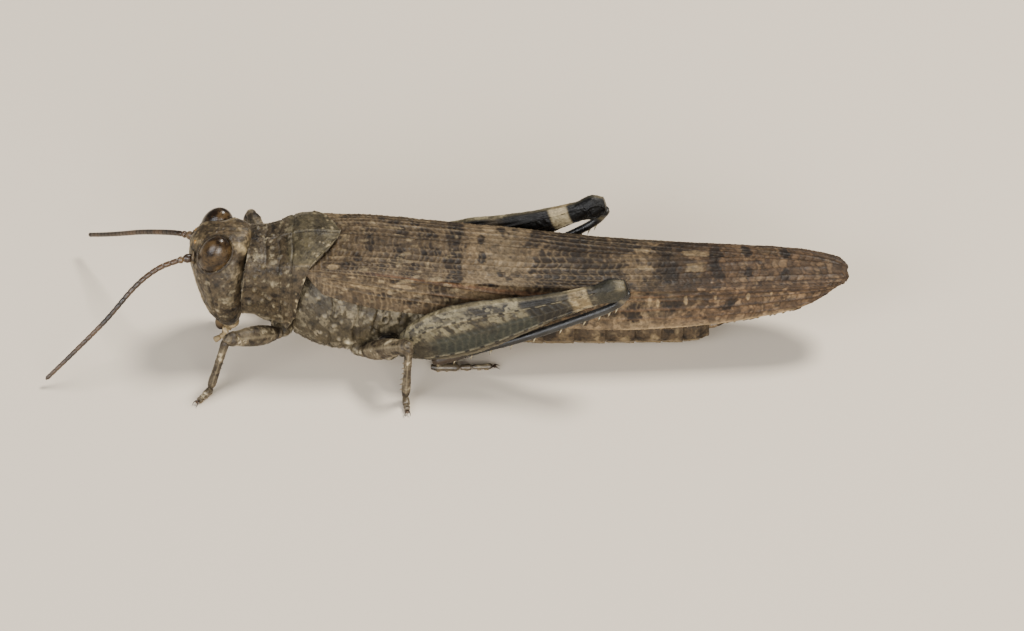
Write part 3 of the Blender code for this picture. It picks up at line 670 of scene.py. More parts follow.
def build_pronotum():
    half = catmull([p + m for p, m in zip(PRONOTUM_PROFILE, PRONOTUM_MARGINS)], PRONOTUM_ACROSS)
    profile = np.vstack([half[::-1], half[1:]])
    sign = np.concatenate([-np.ones(PRONOTUM_ACROSS), np.ones(PRONOTUM_ACROSS - 1)])
    u = np.linspace(0, 1, PRONOTUM_ALONG)[:, None]
    x = profile[:, 2] + (profile[:, 3] - profile[:, 2]) * u
    half_w, top, low = table(PRONOTUM_ROWS, x)
    y = half_w * profile[:, 0] * sign
    z = low + (top - low) * profile[:, 1]
    P = np.stack([x, y, z], -1)
    N = normals_of(P)
    N *= np.sign((N * (P - [-9.2, 0, 5.0])).sum(-1, keepdims=True))
    w = np.abs(y)
    side = ramp(w / half_w, 0.80, 0.95)
    disc = 1 - side
    front = ramp(-x, 9.35, 9.9)
    wave = 0.06 * np.cos(2.2 * y)
    cuts = sum(bump(x + wave, s, 0.075) * d for s, d in zip(SULCI, (0.7, 0.8, 1.0)))
    cuts = cuts * (1 - 0.5 * ramp(z, 0, 1) * (z < 3.2))
    keel = bump(w, 0, 0.075) * (1 - 0.85 * sum(bump(x, s, 0.10) for s in SULCI[1:])) * (0.55 + 0.45 * (x > SULCI[2]))
    shoulder = bump(w, half_w * 0.885, 0.10) * (0.35 + 0.65 * ramp(x, -9.3, -8.9))
    hem = ramp(0.16 - u * 5.4, 0, 0.16) + ramp((u - 1) * 5.4 + 0.16, 0, 0.16)
    lower_hem = ramp(0.035 - profile[:, 1], 0, 0.035)
    lumps = fbm(P, 0.85, 51, 3)
    grain = granules(P, 0.20, 52, 0.8)
    big = granules(P, 0.46, 53, 0.40) * front
    blister = granules(P, 0.34, 54, 0.35) * disc * (1 - front)
    crater = bump(x, -9.9, 0.5) * bump(z, 6.6, 0.5) * side
    h = (0.10 * keel + 0.07 * shoulder - 0.06 * cuts + 0.05 * hem + 0.05 * lower_hem + 0.045 * lumps * (0.4 + 0.6 * front)
         + 0.030 * grain * (0.5 + 0.5 * front) + 0.10 * big + 0.045 * blister - 0.06 * crater)
    P2 = P + N * (h - 0.07)[..., None]
    C = mottle(P, srgb(36, 29, 20), srgb(80, 70, 54), srgb(130, 121, 101), 0.48, 55)
    olive = mix(srgb(72, 67, 50), srgb(106, 99, 77), ramp(fbm(P, 0.7, 56, 4), -0.5, 0.5))
    C = mix(C, olive, 0.62 * disc * (1 - front) * (1 - 0.6 * blister))
    C = mix(C, srgb(146, 136, 112), 0.42 * big + 0.30 * grain * front * ramp(fbm(P, 0.7, 57), -0.1, 0.4))
    C = mix(C, srgb(168, 156, 128), 0.65 * blister * (x > -8.2))
    C = mix(C, srgb(148, 134, 106), 0.55 * shoulder * (0.3 + 0.7 * ramp(noise(P, 0.5, 58), -0.2, 0.3)))
    C = mix(C, INK, 0.40 * cuts * ramp(fbm(P, 0.5, 64), -0.5, 0.1))
    C = mix(C, srgb(50, 40, 28), 0.65 * side * bump(z, 5.9 + 0.25 * (x + 9.0), 0.55) * ramp(x, -9.3, -8.8) * (0.6 + 0.4 * noise(P, 0.5, 59)))
    C = mix(C, srgb(48, 39, 28), 0.60 * ramp(fbm(P, 1.1, 60), 0.25, 0.55) * side * front)
    C = mix(C, srgb(150, 140, 118), 0.55 * hem * ramp(noise(P, 0.45, 61), -0.3, 0.1) + 0.35 * lower_hem)
    C = mix(C, INK, 0.75 * granules(P, 0.17, 62, 0.20))
    rear_spot = granules(P, 0.30, 63, 0.30) * ramp(u, 0.88, 0.97)
    C = mix(C, BONE, 0.6 * rear_spot)
    C = peppered(P, C, 0.15, 0.42)
    Build().plate(P2, C, 0.16, N, srgb(60, 50, 38)).piece("pronotum_shield", CUTICLE, "pronotum", ["pronotum"])


# ---------------------------------------------------------------- trunk
THORAX_ROWS = [        # x, half width, belly, widest level, back
    (-9.40, 2.30, 1.40, 3.40, 6.60), (-9.00, 2.55, 1.25, 3.40, 6.70), (-8.30, 2.84, 0.96, 3.30, 6.85),
    (-7.40, 3.04, 0.75, 3.20, 6.95),
    (-6.00, 3.25, 0.60, 3.10, 7.00), (-4.60, 3.28, 0.55, 3.05, 6.95), (-3.40, 3.05, 0.55, 3.10, 6.80),
    (-2.20, 2.90, 0.55, 3.10, 6.65), (-0.60, 2.75, 0.58, 3.10, 6.30), (0.35, 2.62, 0.65, 3.10, 5.95)]
PROTHORAX_ROWS = [
    (-13.00, 1.70, 3.20, 5.00, 7.20), (-12.30, 1.86, 2.90, 4.80, 7.50), (-11.20, 1.75, 1.90, 4.50, 7.40),
    (-10.20, 1.72, 1.40, 4.20, 7.05), (-9.12, 1.80, 1.30, 4.00, 7.10), (-8.70, 1.60, 1.50, 4.00, 6.90)]
ABDOMEN_ROWS = [       # x, half width, belly, widest level, back
    (0.20, 2.52, 0.68, 3.00, 5.48), (3.00, 2.50, 0.55, 2.85, 5.20), (6.50, 2.42, 0.42, 2.60, 4.75),
    (10.00, 2.22, 0.34, 2.30, 4.20), (12.60, 2.05, 0.30, 2.10, 3.75), (14.60, 1.86, 0.30, 1.95, 3.35),
    (15.60, 1.55, 0.36, 1.80, 2.95), (16.30, 1.00, 0.62, 1.65, 2.40)]


def body_grid(rows, x, n_up, n_low, around):
    """Rings across the body at stations x, as in the solids."""
    half_w, low, mid, high = (c[:, None] for c in table(rows, x))
    a = 2 * pi * np.arange(around) / around
    up = np.sin(a) >= 0
    n = np.where(up, n_up, n_low)
    rise = np.where(up, high - mid, mid - low)
    y = half_w * power(np.cos(a), 2 / n)
    z = mid + rise * power(np.sin(a), 2 / n)
    P = np.stack(np.broadcast_arrays(x[:, None], y, z), -1)
    N = normals_of(P, wrap=True)
    inner = np.stack([x[:, None] + 0 * y, 0 * y, mid + 0 * y], -1)
    N *= np.sign((N * (P - inner)).sum(-1, keepdims=True))
    return P, N


def skin(P):
    """Mottled grey-brown of the trunk's sides with pale lichen-like blotches."""
    C = mottle(P, srgb(40, 33, 23), srgb(86, 77, 60), srgb(134, 126, 107), 0.55, 81)
    patch = ramp(fbm(P, 0.62, 82, 4), 0.18, 0.34)
    edge = bump(fbm(P, 0.62, 82, 4), 0.10, 0.08)
    C = mix(C, srgb(164, 154, 132), 0.60 * patch)
    C = mix(C, srgb(54, 45, 33), 0.40 * edge)
    return peppered(P, mix(C, INK, 0.7 * granules(P, 0.20, 83, 0.18)), 0.16, 0.44)


def build_trunk():
    P, N = body_grid(PROTHORAX_ROWS, np.linspace(-13.00, -8.70, 60), 2.3, 2.6, 160)
    h = 0.03 * fbm(P, 0.5, 71) + 0.02 * granules(P, 0.22, 72)
    Build().tube(P + N * h[..., None], skin(P)).piece(
        "neck_and_forebreast", CUTICLE, "thorax", ["prothorax"])
    P, N = body_grid(THORAX_ROWS, np.linspace(-9.4, 0.35, 300), 2.0, 3.2, 320)
    x, y, z = P[..., 0], P[..., 1], P[..., 2]
    lateral = ramp(np.abs(N[..., 1]), 0.35, 0.75)
    under = ramp(-N[..., 2], 0.6, 0.9)
    seams = 0
    plates = 0
    for a, b in (((-6.75, 6.4), (-7.35, 1.2)), ((-5.15, 6.2), (-5.85, 1.0)), ((-4.15, 5.6), (-4.35, 3.2)),
                 ((-4.35, 3.2), (-3.15, 1.7)), ((-2.65, 6.0), (-2.75, 3.6))):
        d, _ = near_line(x + 0.10 * np.sin(2.4 * z), z, a, b)
        seams = seams + bump(d, 0, 0.075)
        plates = plates + bump(d, 0.24, 0.12)
    d, _ = near_line(x, z, (-6.10, 5.9), (-6.60, 1.3))
    ridge = bump(d, 0, 0.16)
    lumps = fbm(P, 1.0, 73, 3)
    grain = granules(P, 0.21, 74, 0.8)
    big = granules(P, 0.50, 75, 0.35) * lateral
    spiracle = np.hypot((x + 7.05) / 0.8, z - 3.2)
    spiracle2 = np.hypot((x + 3.75) / 0.8, z - 3.9)
    holes = sum(bump(q, 0, 0.13) for q in (spiracle, spiracle2))
    lips = sum(bump(q, 0.28, 0.08) for q in (spiracle, spiracle2))
    mid_groove = bump(y, 0, 0.07) * under
    h = (lateral * (-0.09 * seams + 0.04 * plates + 0.07 * ridge - 0.14 * holes + 0.07 * lips) + 0.05 * lumps
         + 0.035 * grain + 0.07 * big - 0.06 * mid_groove
         - 0.05 * under * (bump(x, -5.0, 0.08) + bump(x, -2.2, 0.08) + bump(x, -7.6, 0.08))) - 0.06
    C = skin(P)
    C = mix(C, srgb(92, 84, 66), 0.30 * lateral)
    # painted shade: the whole thorax a little darker, its upper front flank under the pronotum and wing bases darker
    # still
    C = C * (0.94 - 0.26 * ramp(-x, 5.6, 7.4) * ramp(z, 2.6, 4.4))[..., None]
    # painted shade: the lower flanks get darker towards the bottom, broken up by noise
    C = C * (1 - 0.35 * ramp(3.0 - z, 0, 1.8) * ramp(noise(P, 0.7, 78), -0.6, 0.2))[..., None]
    C = mix(C, srgb(170, 160, 138), 0.5 * lateral * (big + 0.6 * lips).clip(0, 1))
    C = mix(C, INK, 0.60 * lateral * (seams * 0.5 * ramp(fbm(P, 0.6, 77), -0.6, 0.2) + holes).clip(0, 1))
    C = mix(C, srgb(196, 186, 160), 0.7 * bump(np.hypot(x + 6.05, z - 2.1), 0, 0.22) * lateral)
    C = mix(C, srgb(150, 134, 106), 0.75 * under)
    Build().tube(P + N * h[..., None], C).piece(
        "thorax_walls", CUTICLE, "thorax", ["thorax"])


# ---------------------------------------------------------------- abdomen
TERGITE_ENDS = (0.20, 2.05, 3.95, 5.85, 7.75, 9.65, 11.45, 13.05, 14.40, 15.45, 16.02)
SIDE_FOLD = -0.30                 # level of the soft fold, as a share below the widest level


def build_abdomen():
    x = np.linspace(0.20, 16.02, 460)
    P, N = body_grid(ABDOMEN_ROWS, x, 2.1, 2.7, 200)
    ends = np.array(TERGITE_ENDS)
    k = np.clip(np.searchsorted(ends, P[..., 0] - 0.02, side="right") - 1, 0, len(ends) - 2)
    length = ends[k + 1] - ends[k]
    t = (P[..., 0] - ends[k]) / length
    y, z = P[..., 1], P[..., 2]
    up = ramp(N[..., 2], -0.75, -0.45)
    fold = bump(N[..., 2], -0.62, 0.16)
    step = -0.07 * ramp(0.14 - t, 0, 0.14) + 0.03 * ramp(t, 0.55, 1.0)
    lumps = fbm(P, 0.8, 91, 3)
    grain = granules(P, 0.20, 92, 0.7)
    stripes = noise(np.stack([P[..., 0] * 0.4, y * 3.2, z * 3.2], -1), 0.30, 93)
    keel = bump(y, 0, 0.10) * (N[..., 2] > 0)
    spir = np.hypot((t - 0.22) * length, (N[..., 2] + 0.30) * 1.8)
    h = step - 0.11 * fold + 0.030 * lumps + 0.020 * grain + 0.014 * stripes + 0.05 * keel - 0.05 * bump(spir, 0, 0.10) - 0.03
    C = mottle(P, srgb(46, 37, 26), srgb(84, 71, 54), srgb(116, 102, 80), 0.50, 94)
    flank = ramp(np.abs(N[..., 1]), 0.4, 0.8)
    wedge = ramp(0.42 - np.abs(t - 0.75) * 1.5 - (N[..., 2] + 0.45) * 0.6 + 0.25 * fbm(P, 0.5, 90), 0.0, 0.30) * flank
    C = mix(C, srgb(148, 132, 104), 0.55 * wedge * (0.3 + 0.7 * ramp(fbm(P, 0.4, 99), -0.4, 0.2)))
    C = mix(C, srgb(40, 31, 22), 0.45 * bump(t, 0.16, 0.12) * flank * ramp(N[..., 2], -0.7, -0.5))
    C = mix(C, srgb(122, 106, 80), 0.70 * (1 - up))
    C = mix(C, srgb(150, 134, 104), 0.35 * fold)
    C = mix(C, INK, 0.65 * bump(spir, 0, 0.12) + 0.55 * bump(t, 0.0, 0.035))
    C = mix(C, INK, 0.6 * granules(P, 0.20, 95, 0.18))
    C = peppered(P, C, 0.15, 0.32)
    Build().tube(P + N * h[..., None], C).piece(
        "abdomen_rings", CUTICLE, "abdomen", ["abdomen_front", "abdomen_middle", "abdomen_rear", "abdomen_tip"])
    b = Build()
    t = np.linspace(0, 1, 40)[:, None]
    s = np.linspace(-1, 1, 40)[None]
    half = 0.62 * (1 - 0.75 * t ** 1.6)
    P = np.stack(np.broadcast_arrays(15.85 + 0.95 * t, half * s, 2.56 - 0.26 * t - 0.30 * s ** 2 + 0.05 * bump(s, 0, 0.2)), -1)
    P = P + 0.015 * fbm(P, 0.3, 96)[..., None]
    b.plate(P, mottle(P, srgb(62, 50, 37), srgb(104, 88, 66), srgb(140, 124, 96), 0.4, 97), 0.10, [0, 0, 1])
    for side in (-1, 1):
        path = catmull([(15.95, 0.66 * side, 2.12), (16.35, 0.80 * side, 2.14), (16.75, 0.84 * side, 2.06)], 24)
        r = np.linspace(0.17, 0.05, 24) * np.clip((1 - np.linspace(0, 1, 24)) / 0.1, 0.3, 1) ** 0.5
        b.tube(tube(path, r, r, (0, 1, 0), 16), srgb(120, 102, 76))
    b.piece("end_plates", CUTICLE, "abdomen")
    for word, side in (("left", -1), ("right", 1)):
        b = Build()
        for lift, bend, bulge in ((0.30, 0.20, 1.0), (-0.30, -0.16, 0.92)):
            path = catmull([(15.75, 0.36 * side, 1.46 + lift), (16.25, 0.36 * side, 1.50 + lift * bulge),
                            (16.62, 0.33 * side, 1.54 + lift * 0.75 + bend * 0.2), (16.93, 0.30 * side, 1.60 + lift * 0.7 + bend)], 60)
            u = np.linspace(0, 1, 60)
            r = np.interp(u, [0, 0.45, 0.8, 1], [0.24, 0.25, 0.17, 0.035])
            P = tube(path, r, r * 0.95, (0, 1, 0), 26)
            tone = ramp(P[..., 0], 16.35, 16.75)
            b.tube(P, mix(mottle(P, srgb(84, 68, 48), srgb(128, 108, 80), srgb(156, 138, 106), 0.3, 98),
                          srgb(26, 17, 12), 0.9 * tone))
        b.piece("egg_valves_" + word, GLOSSY, "abdomen", ["ovipositor_" + word])


# ---------------------------------------------------------------- wings
SEAM_Y = 0.06
WING_ROWS = [          # x, top, half width of the flat top, half width at the lower edge, lower edge
    (-8.00, 7.75, 2.55, 3.05, 6.10), (-5.00, 7.75, 2.70, 3.25, 5.10), (-1.00, 7.30, 2.70, 3.28, 4.45),
    (4.00, 6.80, 2.62, 3.22, 3.75), (9.00, 6.32, 2.42, 3.05, 3.05), (14.00, 6.06, 2.20, 2.80, 3.02),
    (18.00, 5.92, 2.02, 2.52, 3.38), (21.00, 5.76, 1.84, 2.20, 3.92), (23.00, 5.54, 1.54, 1.78, 4.34),
    (24.00, 5.34, 1.22, 1.36, 4.60), (24.55, 5.14, 0.84, 0.92, 4.78)]
WING_SECTION = [       # share along the flat top, share of the way down the side, x where the wing starts
    (0.0, 0.00, -7.00), (0.45, 0.015, -7.70), (0.80, 0.05, -8.30), (1.0, 0.16, -8.50),
    (1.0, 0.40, -8.40), (1.0, 0.72, -8.00), (1.0, 1.00, -7.50)]
WING_TIP_X = 24.50
TIP_ROUNDING, TIP_POWER = 3.4, 1.6      # how far the lower corner lies behind the tip, and how round it is
TIP_LEVEL, SEAM_FALL = 0.18, 1.4        # share across at the very tip, and how the seam falls back from it
VEINS = [              # strength, then (x, share across from the seam to the lower edge)
    (0.5, [(-6.5, 0.09), (4, 0.08), (13, 0.03)]),
    (0.6, [(-6.8, 0.16), (6, 0.14), (16, 0.03)]),
    (1.0, [(-7.2, 0.24), (4, 0.22), (12, 0.15), (19, 0.03)]),
    (0.7, [(-7.4, 0.31), (4, 0.30), (12, 0.24), (20, 0.12), (23, 0.05)]),
    (0.7, [(-7.6, 0.37), (4, 0.37), (12, 0.32), (20, 0.23), (24, 0.16)]),
    (0.5, [(-3.0, 0.42), (4, 0.41), (11, 0.38)]),
    (0.9, [(-7.8, 0.45), (0, 0.47), (5, 0.47), (12, 0.42), (20, 0.34), (24.4, 0.28)]),
    (0.6, [(6.0, 0.48), (12, 0.47), (20, 0.42), (24.4, 0.38)]),
    (0.6, [(10.0, 0.53), (16, 0.51), (24.4, 0.48)]),
    (1.3, [(-7.9, 0.50), (-1, 0.57), (3.2, 0.64), (7, 0.64), (12, 0.60), (18, 0.58), (24.4, 0.58)]),
    (0.7, [(9.0, 0.64), (14, 0.66), (20, 0.67), (24.3, 0.68)]),
    (1.0, [(-7.9, 0.66), (-1, 0.72), (6, 0.76), (13, 0.76), (20, 0.77), (23.6, 0.82)]),
    (0.6, [(-7.7, 0.78), (0, 0.84), (8, 0.86), (16, 0.87), (22, 0.93)]),
]
VEIN_R = 0.055


def across_mm(x, s):
    """Length from the seam to share s of the section, roughly."""
    top, half_top, half_low, low = table(WING_ROWS, x)
    return s * (half_top + 0.95 * (top - low))


def vein_net(x, s, seed):
    """Heights from 0 to 1 of the long veins and of the cross veins, and a random tone for each cell."""
    width = across_mm(x, 1.0)
    long_veins = 0
    places = []
    for strength, knots in VEINS:
        k = np.array(knots)
        place = np.interp(x, k[:, 0], k[:, 1]) + 0.004 * np.sin(1.3 * x + 9 * k[0, 1])
        shown = ramp(x, k[0, 0] - 0.1, k[0, 0] + 0.5) * ramp(k[-1, 0] + 0.4 - x, 0, 0.5)
        d = np.abs(s - place) * width
        r = VEIN_R * (0.8 + 0.35 * strength)
        long_veins = np.maximum(long_veins, shown * strength * np.exp(-(d / r) ** 2))
        places.append(np.where(shown > 0.3, place, 2.0))
    places = np.sort(np.stack(places), axis=0)
    band = (s[None] > places).sum(0)
    below = np.take_along_axis(np.concatenate([np.zeros_like(s)[None], places]), band[None], 0)[0]
    gap = np.clip(np.take_along_axis(np.concatenate([places, np.full_like(s, 2.0)[None]]), band[None], 0)[0], None, 1.0)
    part = (s - below) / np.maximum(gap - below, 0.01)
    reach = np.interp(x, [-8, 2, 9, 24], [0.34, 0.38, 0.46, 0.46])
    q = x / reach + 0.14 * np.sin(5.0 * part + 2.4 * band + seed) + 0.37 * band
    i = np.floor(q).astype(np.int64)
    zero = np.zeros_like(i)
    cross = 9.0
    for step in (0, 1):
        edge = i + step + 0.55 * (hashed(i + step, band, zero, seed) - 0.5)
        cross = np.minimum(cross, np.abs(q - edge) * reach)
    left_of = q < i + 0.55 * (hashed(i, band, zero, seed) - 0.5)
    right_of = q >= i + 1 + 0.55 * (hashed(i + 1, band, zero, seed) - 0.5)
    cell = i - left_of + right_of
    tone = hashed(cell, band, zero + 3, seed)
    split = np.abs(part - 0.5 - 0.12 * np.sin(7 * x)) * (gap - below) * width
    has_split = (hashed(cell, band, zero + 5, seed) < 0.55) * ((gap - below) * width > 0.45)
    cross_veins = 0.75 * np.exp(-(cross / 0.050) ** 2)
    cross_veins = np.maximum(cross_veins, 0.55 * has_split * np.exp(-(split / 0.045) ** 2))
    return long_veins, cross_veins, tone


def patch(x, s, x0, s0, half_x, half_s, P, seed):
    """Soft-edged block of colour with a ragged outline."""
    ragged = 0.55 * fbm(P, 0.60, seed, 3) + 0.35 * noise(P, 0.20, seed + 31)
    return ramp(1.10 - np.hypot(np.abs(x - x0) / half_x, np.abs(s - s0) / half_s) ** 1.4 + ragged, 0.0, 0.45)


def wing_paint(x, s, P, long_veins, cross_veins, tone, seed):
    basal = 1 - ramp(x, 0.2, 2.0)
    distal = ramp(x, 12.0, 16.5)
    side = ramp(s, 0.46, 0.54)
    lumps = fbm(P, 1.3, seed, 4)
    fine = fbm(P, 0.32, seed + 1, 3)
    C = mix(srgb(112, 96, 74), srgb(104, 85, 64), distal)
    C = mix(C, srgb(88, 75, 57), basal * 0.85)
    C = mix(C, srgb(124, 110, 88), 0.8 * bump(x, 3.4, 1.9) * (1 - side))
    C = mix(C, srgb(138, 120, 95), 0.55 * ramp(s, 0.90, 0.98) * ramp(x, 0, 4))
    C = C * (1 + 0.10 * lumps + 0.14 * (tone - 0.5) + 0.05 * fine)[..., None]
    dark = srgb(52, 40, 26)
    deep = srgb(36, 26, 16)
    shade = 0.85 * patch(x, s, -0.3, 0.66, 1.05, 0.13, P, seed + 2)
    shade = np.maximum(shade, 1.00 * patch(x, s, 0.50, 0.26, 0.62, 0.34, P, seed + 3))
    shade = np.maximum(shade, 0.55 * patch(x, s, -6.3, 0.52, 1.4, 0.10, P, seed + 4))
    shade = np.maximum(shade, 0.95 * patch(x, s, 8.2, 0.36, 3.9, 0.52, P, seed + 5))
    shade = np.maximum(shade, 0.55 * patch(x, s, 4.2, 0.80, 1.9, 0.13, P, seed + 15))
    shade = np.maximum(shade, 0.72 * patch(x, s, 14.0, 0.42, 2.5, 0.48, P, seed + 6))
    shade = np.maximum(shade, 0.40 * patch(x, s, 19.4, 0.50, 0.8, 0.30, P, seed + 7))
    for x0, s0, hx, hs in ((-4.6, 0.10, 0.34, 0.07), (-2.8, 0.14, 0.40, 0.07), (-1.3, 0.14, 0.36, 0.07),
                           (-3.9, 0.36, 0.30, 0.05), (-5.4, 0.24, 0.26, 0.05), (-2.2, 0.45, 0.42, 0.04),
                           (-0.9, 0.10, 0.34, 0.06), (-3.2, 0.27, 0.32, 0.05), (-1.9, 0.30, 0.30, 0.05),
                           (-6.0, 0.36, 0.50, 0.06), (-4.4, 0.52, 0.50, 0.04), (-3.0, 0.60, 0.50, 0.035),
                           (-4.0, 0.80, 0.50, 0.035), (-2.0, 0.84, 0.60, 0.035), (2.6, 0.52, 0.60, 0.03),
                           (2.1, 0.12, 0.22, 0.06), (3.3, 0.33, 0.22, 0.05), (13.4, 0.16, 0.75, 0.16),
                           (16.4, 0.14, 0.45, 0.15), (18.3, 0.20, 0.30, 0.10), (20.6, 0.20, 0.30, 0.10),
                           (11.3, 0.80, 0.5, 0.08), (13.6, 0.72, 0.5, 0.08), (17.2, 0.72, 0.35, 0.07)):
        shade = np.maximum(shade, patch(x, s, x0, s0, 1.25 * hx, 1.25 * hs, P, seed + 8))
    flecks = ramp(fbm(P * [1, 1.6, 1.6], 0.50, seed + 9, 3), 0.30, 0.55)
    shade = np.maximum(shade, flecks * np.interp(x, [-8, 1, 6, 12, 24], [0.45, 0.35, 0.55, 0.55, 0.40]))
    cells = (tone > 0.72) * np.interp(x, [-8, 1, 5, 12, 24], [0.38, 0.20, 0.35, 0.40, 0.34])
    shade = np.maximum(shade, cells)
    C = mix(C, mix(dark, deep, ramp(fine, -0.2, 0.6)), shade.clip(0, 1))
    net = (long_veins + cross_veins).clip(0, 1)
    pale_net = (1 - distal) * np.interp(x, [-8, 0, 4, 6, 12, 15], [0.55, 0.45, 0.25, 0.50, 0.40, 0.1])
    C = mix(C, srgb(150, 134, 108), pale_net * net * (0.35 + 0.65 * ramp(noise(P, 0.8, seed + 10), -0.4, 0.3)))
    C = mix(C, srgb(54, 40, 27), 0.66 * distal * net)
    C = mix(C, srgb(138, 118, 92), 0.45 * distal * (1 - net) * (tone < 0.30) * (shade < 0.4))
    C = mix(C, srgb(104, 80, 58), 0.7 * (long_veins * side).clip(0, 1) * ramp(x, -2, 0) * (1 - distal))
    streak = bump(s, np.interp(x, [-6, -1, 3, 7], [0.47, 0.53, 0.60, 0.62]), 0.026)
    C = mix(C, srgb(108, 82, 61), 0.80 * streak * ramp(x, -5.5, -3.5) * ramp(9 - x, 0, 2))
    border = bump(s, np.interp(x, [-6, -1, 3, 7], [0.50, 0.57, 0.64, 0.66]), 0.008)
    C = mix(C, deep, 0.65 * border * ramp(x, -5.5, -3.5) * ramp(9 - x, 0, 2))
    pale = np.zeros_like(x)
    for x0, s0, hx, hs in ((-5.7, 0.60, 0.35, 0.016), (-4.9, 0.72, 0.85, 0.020), (-2.5, 0.66, 0.75, 0.022),
                           (-6.9, 0.40, 0.45, 0.06), (11.9, 0.14, 0.6, 0.04), (15.2, 0.12, 0.8, 0.06),
                           (12.3, 0.66, 0.10, 0.08), (12.8, 0.70, 0.10, 0.05), (14.5, 0.66, 0.10, 0.08),
                           (16.3, 0.64, 0.10, 0.05), (18.3, 0.64, 0.12, 0.06), (19.7, 0.62, 0.10, 0.04)):
        pale = np.maximum(pale, patch(x, s, x0, s0, hx, hs, P, seed + 11))
    C = mix(C, srgb(160, 142, 112), 0.50 * pale)
    lichen = ramp(fbm(P * [0.6, 1, 1], 0.34, seed + 12, 3), 0.50, 0.70) * (0.25 + 0.75 * basal)
    C = mix(C, srgb(150, 136, 110), 0.55 * lichen)
    C = mix(C, srgb(168, 148, 116), 0.70 * ramp(s, 0.975, 0.995) * ramp(x, 9, 13))
    # painted shade: the top face of the wing cover is drawn 14% darker than its side
    painted_top_shade = 1 - side
    return peppered(P, C, 0.18, 0.46) * (1 - 0.14 * painted_top_shade)[..., None]


def build_wing(word, side, seed):
    nu, nv = 540, 108
    s = np.linspace(0, 1, nv)
    share, down, start = catmull(WING_SECTION, nv).T
    share, down = np.clip(share, 0, 1), np.clip(down, 0, 1)
    u = np.linspace(0, 1, nu)[:, None]
    from_tip = np.where(s > TIP_LEVEL, (s - TIP_LEVEL) / (1 - TIP_LEVEL), SEAM_FALL * (TIP_LEVEL - s)).clip(0, 1)
    tip = WING_TIP_X - TIP_ROUNDING * (1 - np.sqrt(1 - from_tip ** TIP_POWER))
    x = start + (tip - start) * (1 - (1 - u) ** 1.06)
    top, half_top, half_low, low = table(WING_ROWS, x)
    lap = 0.42 * (1 - share) ** 3 * (side < 0)
    y = SEAM_Y - lap + (half_top - SEAM_Y) * share + (half_low - half_top) * down
    lift = (0.07 if side < 0 else -0.04) * (1 - share) ** 2
    z = top + (low - top) * down + lift
    P = np.stack([x, y * side, z], -1)
    s = np.broadcast_to(s, x.shape)
    N = normals_of(P)
    N *= np.sign((N * (P - np.stack([x, 0 * x, 0.5 * (top + low)], -1))).sum(-1, keepdims=True))
    long_veins, cross_veins, tone = vein_net(x, s, seed)
    rise = np.interp(x, [-8, 0, 24], [0.075, 0.055, 0.045])
    fade = 0.35 + 0.65 * ramp(s, 0.0, 0.04)
    h = rise * (long_veins + 0.6 * cross_veins).clip(0, 1.3) * fade + 0.020 * fbm(P, 0.9, seed + 20) - 0.05
    h = h + 0.022 * granules(P, 0.20, seed + 21, 0.7) * (1 - ramp(x, -1, 4))
    h = h + 0.05 * bump(s, 0.50, 0.03) * (1 - ramp(x, 10, 20))
    C = wing_paint(x, s, P, long_veins, cross_veins, tone, seed)
    b = Build()
    b.plate(P + N * h[..., None], C, 0.11, N, srgb(96, 78, 58))
    b.piece("wing_cover_" + word, WING, "wing_cover", ["tegmen_" + word])


def build_hind_wing(word, side):
    """Fan of the hind wing, folded in pleats under the cover."""
    nu, nv = 90, 97
    pleat = np.linspace(0, 1, nv)
    x = np.linspace(0.9, 22.0, nu)[:, None]
    top, half_top, half_low, low = table(WING_ROWS, x)
    reach = np.maximum(half_top - 0.85, 0.55) * (1 - 0.35 * ((x - 11) / 14) ** 4)
    zig = np.abs((pleat * 12) % 2 - 1)
    y = (0.10 + (reach - 0.10) * pleat) * side
    z = top - 0.74 - 0.42 * zig - 0.10 * pleat
    P = np.stack(np.broadcast_arrays(x, y, z), -1)
    # painted shade: the valleys of the pleats are darker than their ridges
    C = mix(srgb(176, 158, 118), srgb(96, 74, 50), 0.7 * bump(zig, 1, 0.2) + 0.3 * ramp(noise(P, 1.0, 7), 0, 0.5))
    b = Build()
    b.plate(P, C, 0.03, [0, 0, 1])
    b.piece("folded_hind_wing_" + word, WING, "hind_wing", ["hind_wing_" + word])


# ---------------------------------------------------------------- legs
LEGS = {               # hip, knee, ankle, tip of the foot
    "fore_left": ((-10.05, -2.30, 2.20), (-13.30, -4.95, 3.95), (-14.35, -5.35, 0.80), (-15.30, -6.65, 0.0)),
    "fore_right": ((-10.05, 2.30, 2.20), (-12.20, 5.95, 4.85), (-13.60, 6.10, 0.80), (-14.60, 7.25, 0.0)),
    "mid_left": ((-5.30, -3.35, 1.55), (-2.25, -5.80, 4.20), (-2.50, -6.15, 0.80), (-2.35, -7.60, 0.0)),
    "mid_right": ((-5.30, 3.35, 1.55), (-2.60, 5.45, 3.70), (-2.20, 6.00, 0.80), (-1.80, 7.45, 0.0)),
    "hind_left": ((-2.95, -3.95, 2.35), (10.80, -4.35, 7.65), (-0.90, -3.35, 0.80), (3.20, -3.15, 0.0)),
    "hind_right": ((-3.10, 3.95, 2.22), (9.65, 4.30, 6.95), (-1.10, 3.45, 0.78), (3.00, 3.60, 0.0)),
}
HIND_FEMUR_PROFILE = [   # share of length, half depth, half thickness, lift of the centre line
    (0.00, 0.50, 0.42, 0.00), (0.05, 1.05, 0.55, 0.05), (0.14, 1.55, 0.70, 0.12), (0.26, 1.80, 0.78, 0.12),
    (0.38, 1.70, 0.76, 0.08), (0.52, 1.30, 0.66, 0.04), (0.66, 0.92, 0.54, 0.02), (0.80, 0.68, 0.46, 0.00),
    (0.88, 0.66, 0.46, 0.00), (0.945, 0.82, 0.54, 0.00), (1.00, 0.50, 0.36, -0.05)]
HIND_KNEE_JOINT = np.array([-0.35, 0.0, -1.50])
HIND_TIBIA_SAG = np.array([0.0, 0.0, -0.28])


